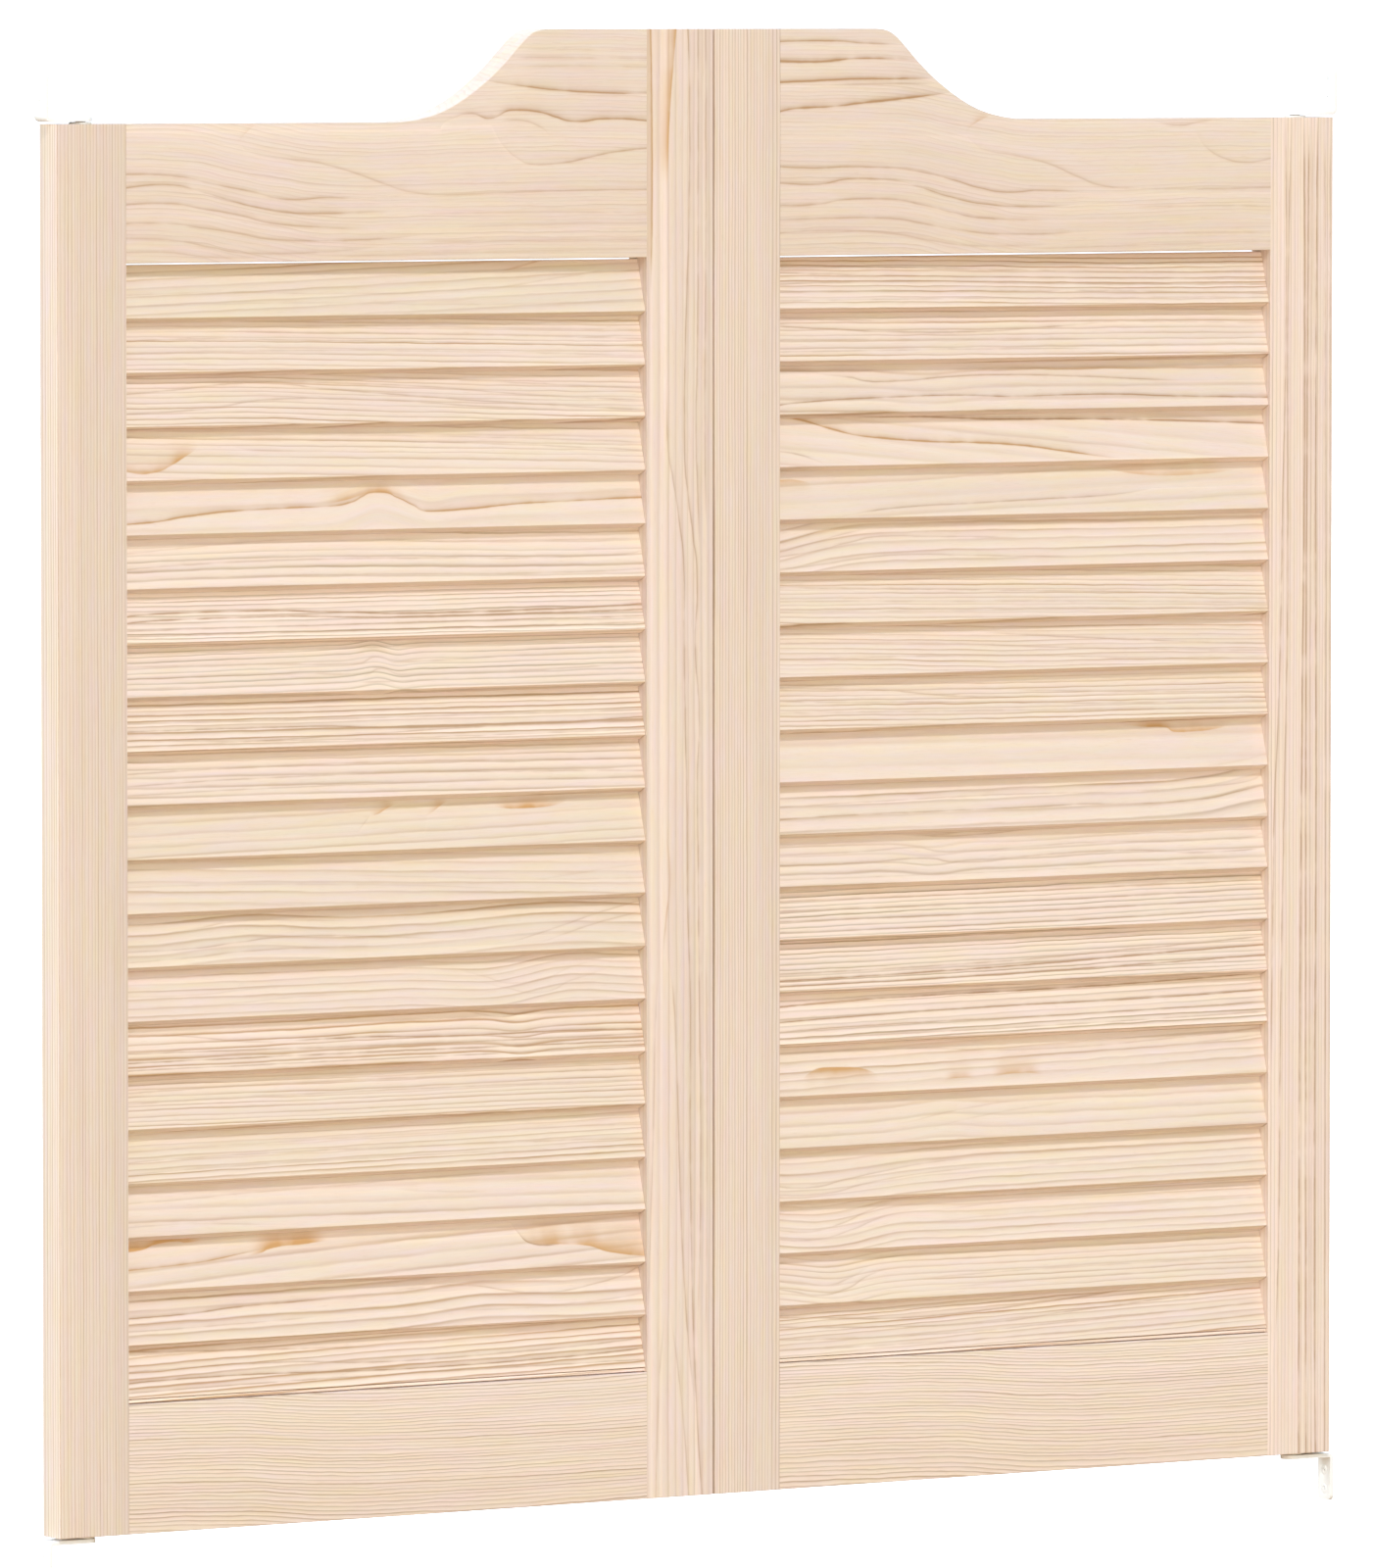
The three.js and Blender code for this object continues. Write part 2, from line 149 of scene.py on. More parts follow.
# ---------------------------------------------------------------- node helpers
class Tree:
    """Short names for building a node tree."""

    def __init__(self, tree):
        self.t = tree

    def new(self, kind, **props):
        n = self.t.nodes.new(kind)
        for k, v in props.items():
            setattr(n, k, v)
        return n

    def put(self, socket, value):
        if hasattr(value, "is_output"):
            self.t.links.new(value, socket)
        else:
            socket.default_value = value

    def math(self, op, *args, clamp=False):
        n = self.new("ShaderNodeMath", operation=op, use_clamp=clamp)
        for s, a in zip(n.inputs, args):
            self.put(s, a)
        return n.outputs[0]

    def vmath(self, op, *args):
        n = self.new("ShaderNodeVectorMath", operation=op)
        for s, a in zip(n.inputs, args):
            self.put(s, a)
        return n.outputs[0]

    def split(self, v):
        n = self.new("ShaderNodeSeparateXYZ")
        self.put(n.inputs[0], v)
        return n.outputs

    def join(self, x, y, z):
        n = self.new("ShaderNodeCombineXYZ")
        for s, a in zip(n.inputs, (x, y, z)):
            self.put(s, a)
        return n.outputs[0]

    def noise(self, vec, detail=1.0, rough=0.5, scale=1.0):
        n = self.new("ShaderNodeTexNoise", noise_dimensions="3D")
        self.put(n.inputs["Vector"], vec)
        self.put(n.inputs["Scale"], scale)
        self.put(n.inputs["Detail"], detail)
        self.put(n.inputs["Roughness"], rough)
        return n.outputs[0]

    def ramp(self, fac, stops, interpolation="LINEAR"):
        n = self.new("ShaderNodeValToRGB")
        n.color_ramp.interpolation = interpolation
        e = n.color_ramp.elements
        while len(e) < len(stops):
            e.new(0.5)
        for el, (p, c) in zip(e, stops):
            el.position = p
            el.color = (c, c, c, 1) if isinstance(c, (int, float)) else (*c, 1)
        self.put(n.inputs[0], fac)
        return n.outputs[0]

    def mix(self, fac, a, b, blend="MIX"):
        n = self.new("ShaderNodeMix", data_type="RGBA", blend_type=blend)
        self.put(n.inputs[0], fac)
        for s, v in ((n.inputs[6], a), (n.inputs[7], b)):
            self.put(s, (*v, 1) if isinstance(v, tuple) and len(v) == 3 else v)
        return n.outputs[2]

    def lerp(self, fac, a, b):
        n = self.new("ShaderNodeMapRange")
        self.put(n.inputs[0], fac)
        n.inputs[1].default_value, n.inputs[2].default_value = 0.0, 1.0
        self.put(n.inputs[3], a)
        self.put(n.inputs[4], b)
        return n.outputs[0]


# ---------------------------------------------------------------- pine
BASE = (0.752, 0.632, 0.542)  # planed pine


def tinted(*factors):
    return tuple(c * f for c, f in zip(BASE, factors))


LATE = tinted(0.64, 0.50, 0.36)  # the hard dark side of a growth ring
ASHEN = tinted(0.57, 0.52, 0.43)  # the same on the greyer boards
BROWN = tinted(0.60, 0.46, 0.33)  # ring edges drawn one by one
WARM = tinted(0.62, 0.45, 0.28)  # those on the rails
RESIN = tinted(0.69, 0.50, 0.29)  # the strongest ones
KNOT = tinted(0.78, 0.54, 0.27)  # knots and resin


def pine_group():
    """Sawn pine as a solid texture. Vector is in mm: X along the grain, Y across the face, Z into the board."""
    g = bpy.data.node_groups.new("pine", "ShaderNodeTree")
    io = g.interface
    io.new_socket(name="Vector", in_out="INPUT", socket_type="NodeSocketVector")
    for name, value in (("Seed", 0.0), ("Pith Y", 0.0), ("Pith Z", 60.0), ("Taper", 0.0), ("Spacing", 3.0), ("Wander", 3.0),
                        ("Wiggle", 0.6), ("Contrast", 0.6), ("Tone", 0.5), ("Lift", 1.0), ("Spread", 0.5), ("Ash", 0.0)):
        io.new_socket(name=name, in_out="INPUT", socket_type="NodeSocketFloat").default_value = value
    io.new_socket(name="Color", in_out="OUTPUT", socket_type="NodeSocketColor")
    io.new_socket(name="Roughness", in_out="OUTPUT", socket_type="NodeSocketFloat")
    io.new_socket(name="Height", in_out="OUTPUT", socket_type="NodeSocketFloat")
    t = Tree(g)
    i = t.new("NodeGroupInput").outputs
    out = t.new("NodeGroupOutput").inputs
    vec, seed = i["Vector"], i["Seed"]
    u, v, w = t.split(vec)
    shift = t.join(t.math("MULTIPLY", seed, 17.3), t.math("MULTIPLY", seed, 5.1), t.math("MULTIPLY", seed, 9.7))

    def stretched(su, sv, sw, detail=1.0, rough=0.5):
        p = t.vmath("MULTIPLY", vec, (1 / su, 1 / sv, 1 / sw))
        return t.noise(t.vmath("ADD", p, shift), detail, rough)

    # growth rings about the pith
    slow = t.math("SUBTRACT", stretched(240, 60, 60, 1.5), 0.5)
    quick = t.math("SUBTRACT", stretched(30, 7, 7, 2.0), 0.5)
    dy = t.math("ADD", t.math("SUBTRACT", v, i["Pith Y"]), t.math("MULTIPLY", slow, t.math("MULTIPLY", i["Wander"], 2.0)))
    dz = t.math("SUBTRACT", w, i["Pith Z"])
    r = t.math("SQRT", t.math("ADD", t.math("MULTIPLY", dy, dy), t.math("MULTIPLY", dz, dz)))
    r = t.math("ADD", r, t.math("MULTIPLY", u, i["Taper"]))
    r = t.math("ADD", r, t.math("MULTIPLY", quick, t.math("MULTIPLY", i["Wiggle"], 2.0)))
    rs = t.math("DIVIDE", r, i["Spacing"])
    years = t.noise(t.join(t.math("MULTIPLY", rs, 0.31), t.math("MULTIPLY", seed, 3.7), 0.5), 1.0)
    rs = t.math("ADD", rs, t.math("MULTIPLY", t.math("SUBTRACT", years, 0.5), 1.6))
    ring = t.math("FLOOR", rs)
    part = t.math("FRACT", rs)
    wn = t.new("ShaderNodeTexWhiteNoise", noise_dimensions="1D")
    t.put(wn.inputs["W"], t.math("ADD", ring, t.math("MULTIPLY", seed, 13.0)))
    strength = t.lerp(i["Spread"], 0.6, t.math("ADD", t.math("MULTIPLY", t.math("POWER", wn.outputs[0], 2.0), 1.1), 0.15))
    band = t.ramp(part, ((0.0, 0.35), (0.07, 0.0), (0.46, 0.04), (0.70, 0.22), (0.86, 0.78), (0.93, 1.0), (1.0, 0.35)))
    come = t.math("ADD", t.math("MULTIPLY", t.math("SUBTRACT", stretched(120, 7, 7, 1.5), 0.5), 3.0), 0.66, clamp=True)
    come = t.lerp(i["Spread"], 0.85, come)
    late = t.math("MULTIPLY", t.math("MULTIPLY", band, t.math("MULTIPLY", strength, come)), t.math("MULTIPLY", i["Contrast"], 1.45), clamp=True)
    early = t.ramp(part, ((0.0, 0.0), (0.10, 1.0), (0.45, 0.35), (0.75, 0.0)))
    early = t.math("MULTIPLY", t.math("MULTIPLY", early, t.math("MULTIPLY", strength, come)), t.math("MULTIPLY", i["Contrast"], 0.09))
    # colour: the ring, then broad bands, then a drift between pinkish and yellowish
    col = t.mix(late, (*BASE, 1), t.mix(i["Ash"], (*LATE, 1), (*ASHEN, 1)))
    broad = t.math("SUBTRACT", stretched(260, 10, 10, 2.0, 0.6), 0.5)
    drift = t.math("ADD", t.math("SUBTRACT", stretched(48, 6, 6, 2.0, 0.6), 0.5), t.math("SUBTRACT", i["Tone"], 0.5))
    mottle = t.math("SUBTRACT", stretched(26, 3, 3, 2.0, 0.6), 0.5)
    fibre = stretched(12, 0.55, 0.55, 3.0, 0.7)
    fine = t.math("SUBTRACT", fibre, 0.5)
    gain = []
    for b, d, q, f in ((0.13, -0.02, -0.03, 0.11), (0.15, 0.09, 0.07, 0.13), (0.18, -0.24, 0.26, 0.16)):
        k = t.math("ADD", t.math("MULTIPLY", broad, b), t.math("ADD", t.math("MULTIPLY", drift, d), t.math("MULTIPLY", mottle, q)))
        gain.append(t.math("ADD", t.math("ADD", t.math("ADD", k, early), t.math("MULTIPLY", fine, f)), i["Lift"]))
    col = t.mix(1.0, col, t.join(*gain), "MULTIPLY")
    fleck = t.math("MULTIPLY", t.math("GREATER_THAN", stretched(8, 0.34, 0.34, 0.0), 0.74), 0.12)
    col = t.mix(fleck, col, (*tinted(0.62, 0.5, 0.4), 1))
    t.put(out["Color"], col)
    t.put(out["Roughness"], t.math("ADD", t.math("MULTIPLY", late, -0.10), t.math("ADD", t.math("MULTIPLY", fibre, 0.16), 0.54)))
    t.put(out["Height"], t.math("ADD", t.math("MULTIPLY", late, 0.5), t.math("MULTIPLY", fibre, 0.7)))
    return g


PINE = pine_group()


def pine(name, lay, centre, seed, py, pz=45.0, taper=0.0, sp=3.0, wander=2.0, wiggle=0.7, k=0.5, tone=0.5, lift=1.0, spread=0.25, ash=0.0,
         tilt=0.0, bends=(), flow=(), lines=()):
    """One board's material. lay is stile, rail or louvre; centre is the board's middle in mm.

    tilt is the run-out of the grain, a bend (u, half-length, rise) lifts it, and flow is the course of the grain as points
    (u, rise). A line (strength, shade, points) is one dark ring edge along points (u, v), shaded off on its upper side, or
    on its lower side when shade is negative.
    """
    m = bpy.data.materials.new(name)
    m.use_nodes = True
    m.node_tree.nodes.clear()
    t = Tree(m.node_tree)
    place = t.new("ShaderNodeTexCoord").outputs["Object"]
    p = t.vmath("SUBTRACT", t.vmath("MULTIPLY", place, (1000, 1000, 1000)), tuple(centre))
    x, y, z = t.split(p)
    if lay == "stile":
        u, v, w = z, x, y
    elif lay == "rail":
        u, v, w = x, z, y
    else:
        s, c = math.sin(LOUVRE_TILT), math.cos(LOUVRE_TILT)
        u = x
        v = t.math("ADD", t.math("MULTIPLY", y, s), t.math("MULTIPLY", z, c))
        w = t.math("SUBTRACT", t.math("MULTIPLY", y, c), t.math("MULTIPLY", z, s))
    face = v
    end = 440 if lay == "stile" else 181

    def course(points):
        """Height of a smooth course through points (u, height)."""
        first, last = points[0][0], points[-1][0]
        low, high = min(q[1] for q in points) - 1.0, max(q[1] for q in points) + 1.0
        n = t.new("ShaderNodeFloatCurve")
        n.mapping.extend = "HORIZONTAL"
        knots = n.mapping.curves[0].points
        spots = [((a - first) / (last - first), (b - low) / (high - low)) for a, b in points]
        knots[0].location, knots[1].location = spots[0], spots[-1]
        for spot in spots[1:-1]:
            knots.new(*spot)
        n.mapping.update()
        t.put(n.inputs["Value"], t.math("DIVIDE", t.math("SUBTRACT", u, first), last - first))
        return t.math("ADD", t.math("MULTIPLY", n.outputs[0], high - low), low)

    if tilt:
        v = t.math("SUBTRACT", v, t.math("MULTIPLY", u, tilt))
    for bu, half, rise in bends:
        a = t.math("DIVIDE", t.math("SUBTRACT", u, bu), half)
        bell = t.math("EXPONENT", t.math("MULTIPLY", t.math("MULTIPLY", a, a), -1.0))
        v = t.math("SUBTRACT", v, t.math("MULTIPLY", bell, rise))
    if flow:
        v = t.math("SUBTRACT", v, course(flow))
    g = t.new("ShaderNodeGroup", node_tree=PINE)
    t.put(g.inputs["Vector"], t.join(u, v, w))
    for key, value in (("Seed", seed), ("Pith Y", py), ("Pith Z", pz), ("Taper", taper), ("Spacing", sp), ("Wander", wander),
                       ("Wiggle", wiggle), ("Contrast", k), ("Tone", tone), ("Lift", lift), ("Spread", spread), ("Ash", ash)):
        g.inputs[key].default_value = value
    col = g.outputs["Color"]
    if lines:
        wob = t.math("SUBTRACT", t.noise(t.vmath("ADD", t.vmath("MULTIPLY", p, (0.05, 0.05, 0.05)), (seed, seed * 2, 0)), 5.0, 0.68), 0.5)
        patch = t.math("SUBTRACT", t.noise(t.vmath("ADD", t.vmath("MULTIPLY", p, (0.045, 0.045, 0.045)), (seed * 3, 0, seed)), 2.0), 0.5)
        vary = t.math("ADD", t.math("MULTIPLY", patch, 2.6), 0.85, clamp=True)
        off = t.math("ADD", face, t.math("MULTIPLY", wob, 0.9))
    for amount, shade, points in lines:
        s = t.math("SUBTRACT", off, course(points))
        if shade < 0:
            s = t.math("MULTIPLY", s, -1.0)
        up = t.math("EXPONENT", t.math("DIVIDE", t.math("MAXIMUM", s, 0.0), -abs(shade)))
        down = t.math("EXPONENT", t.math("DIVIDE", t.math("MINIMUM", s, 0.0), 0.3))
        f = t.math("MULTIPLY", up, down)
        if abs(shade) < 3:
            core = t.math("EXPONENT", t.math("DIVIDE", t.math("ABSOLUTE", s), -0.7 if lay == "rail" else -0.5))
            f = t.math("ADD", t.math("MULTIPLY", f, 0.5 if amount >= 0.8 else 0.3), t.math("MULTIPLY", core, 0.75))
            past = t.math("MULTIPLY", t.math("LESS_THAN", s, 0.0), t.math("EXPONENT", t.math("DIVIDE", s, 2.2)))
            pale = t.math("ADD", t.math("MULTIPLY", past, 0.09 * min(amount, 1.0)), 1.0)
            col = t.mix(1.0, col, t.join(pale, pale, pale), "MULTIPLY")
        f = t.math("MULTIPLY", f, t.math("MULTIPLY", vary, amount * 1.1))
        fade = max(9, min(40, 0.3 * (points[-1][0] - points[0][0])))
        for at, inward in ((points[0][0], 1), (points[-1][0], -1)):
            if abs(at) < end:
                n = t.new("ShaderNodeMapRange", interpolation_type="SMOOTHSTEP")
                t.put(n.inputs[0], u)
                n.inputs[1].default_value, n.inputs[2].default_value = at - 1.5 * inward, at + fade * inward
                f = t.math("MULTIPLY", f, n.outputs[0])
        col = t.mix(t.math("MINIMUM", f, 1.0), col, (*(KNOT if abs(shade) >= 3 else WARM if lay == "rail" else RESIN if abs(shade) >= 2 else BROWN), 1))
    if lay == "louvre":
        # painted highlight: each louvre face is made up to 7 % lighter towards its lower front edge, where more light
        # falls on it
        painted_edge_light = t.math("EXPONENT", t.math("DIVIDE", t.math("ADD", face, LOUVRE_WIDTH / 2), -2.4))
        painted_edge_light = t.math("ADD", t.math("MULTIPLY", painted_edge_light, 0.07), 1.0)
        col = t.mix(1.0, col, t.join(painted_edge_light, painted_edge_light, painted_edge_light), "MULTIPLY")
    bump = t.new("ShaderNodeBump")
    bump.inputs["Strength"].default_value = 0.35
    bump.inputs["Distance"].default_value = 0.00025
    t.put(bump.inputs["Height"], g.outputs["Height"])
    b = t.new("ShaderNodeBsdfPrincipled")
    b.inputs["Specular IOR Level"].default_value = 0.3
    t.put(b.inputs["Base Color"], col)
    t.put(b.inputs["Roughness"], g.outputs["Roughness"])
    t.put(b.inputs["Normal"], bump.outputs[0])
    t.put(t.new("ShaderNodeOutputMaterial").inputs[0], b.outputs[0])
    return m


# how each louvre was sawn, top to bottom
GRAIN = {
    "left": [
        dict(sp=4.6, k=0.82, tilt=0.035, py=-70, tone=0.63, lift=1.002),
        dict(sp=2.9, k=1.03, tilt=-0.018, py=90),
        dict(sp=2.8, k=1.23, tilt=-0.03, py=90, bends=[(-90, 60, 2.0)]),
        dict(sp=3.2, k=0.73, tilt=-0.03, py=60, tone=0.55),
        dict(sp=9.0, k=0.30, tilt=0.012, py=-50, bends=[(-6, 20, 7.5), (34, 14, -2.5)]),
        dict(sp=4.6, k=0.80, tilt=-0.006, py=80, bends=[(-60, 120, 1.5)], lift=1.078, ash=0.6),
        dict(sp=2.9, k=1.56, tilt=-0.004, py=-90, tone=0.46, lift=1.125, ash=1.0),
        dict(sp=2.9, k=0.93, tilt=0.0, py=90, bends=[(-6, 14, 2.2), (8, 10, -1.6)], tone=0.5, lift=1.073, ash=1.0),
        dict(sp=3.4, k=1.48, tilt=-0.004, py=-100, lift=1.085, ash=0.3),
        dict(sp=4.4, k=1.52, tilt=-0.008, py=100, lift=1.065, ash=0.4),
        dict(sp=5.0, k=0.52, tilt=0.02, py=50, tone=0.62, lift=1.015),
        dict(sp=5.0, k=0.60, tilt=-0.035, py=-60, tone=0.56, lift=1.025),
        dict(sp=4.2, k=0.92, tilt=0.0, py=-50, bends=[(-95, 45, 4), (120, 60, 4)], tone=0.6, lift=1.012),
        dict(sp=3.6, k=0.56, tilt=0.0, py=-70, bends=[(75, 38, -4), (130, 40, 4)], lift=1.04),
        dict(sp=4.0, k=2.18, tilt=-0.004, py=80, bends=[(95, 16, -2.5)], lift=1.075),
        dict(sp=2.8, k=1.12, tilt=-0.004, py=100, tone=0.55),
        dict(sp=3.1, k=0.94, tilt=0.008, py=-100, tone=0.57),
        dict(sp=6.0, k=0.65, tilt=-0.012, py=40),
        dict(sp=7.0, k=0.74, tilt=0.05, py=45),
        dict(sp=5.5, k=1.47, tilt=0.012, py=-60, bends=[(70, 40, 3)]),
        dict(sp=4.2, k=2.10, tilt=0.022, py=-90, lift=1.085),
    ],
    "right": [
        dict(sp=3.0, k=1.32, tilt=-0.012, py=-90),
        dict(sp=3.6, k=1.35, tilt=-0.008, py=90),
        dict(sp=6.0, k=0.80, tilt=-0.01, py=60, bends=[(-70, 30, -2.5)], lift=1.02),
        dict(sp=8.0, k=0.40, tilt=-0.1, py=50),
        dict(sp=8.0, k=0.33, tilt=0.03, py=50, tone=0.55, lift=1.02),
        dict(sp=4.6, k=0.95, tilt=0.0, py=-60, bends=[(-205, 55, -12)]),
        dict(sp=2.9, k=0.91, tilt=-0.022, py=100, tone=0.55),
        dict(sp=2.8, k=0.94, tilt=-0.025, py=-100, bends=[(0, 60, -1.5)]),
        dict(sp=2.8, k=1.02, tilt=-0.012, py=90, tone=0.55),
        dict(sp=10.0, k=0.24, tilt=-0.005, py=40, tone=0.5, lift=1.05),
        dict(sp=5.5, k=1.09, tilt=0.004, py=-50, bends=[(195, 45, 9)], lift=1.053, ash=0.5),
        dict(sp=4.8, k=0.88, tilt=0.0, py=60, bends=[(-66, 22, -3), (5, 50, -1.5)], lift=1.07, ash=0.5),
        dict(sp=2.9, k=1.72, tilt=0.006, py=100, tone=0.5, lift=1.09, ash=1.0),
        dict(sp=2.9, k=1.78, tilt=0.008, py=100, tone=0.5, lift=1.095, ash=0.8),
        dict(sp=3.4, k=1.34, tilt=0.012, py=-80, tone=0.48, lift=1.115, ash=0.8),
        dict(sp=3.8, k=0.84, tilt=0.02, py=-40, lift=1.063),
        dict(sp=5.0, k=0.73, tilt=0.0, py=40, bends=[(-60, 30, 3)], tone=0.57),
        dict(sp=4.2, k=0.90, tilt=0.0, py=-60, bends=[(-160, 70, -6)], tone=0.57),
        dict(sp=3.8, k=0.78, tilt=0.0, py=-60, bends=[(-150, 45, -6), (-90, 30, 2)], lift=1.063),
        dict(sp=3.0, k=0.82, tilt=-0.004, py=70, bends=[(-140, 28, -5)], tone=0.57),
        dict(sp=2.9, k=1.25, tilt=0.022, py=-90),
    ],
}
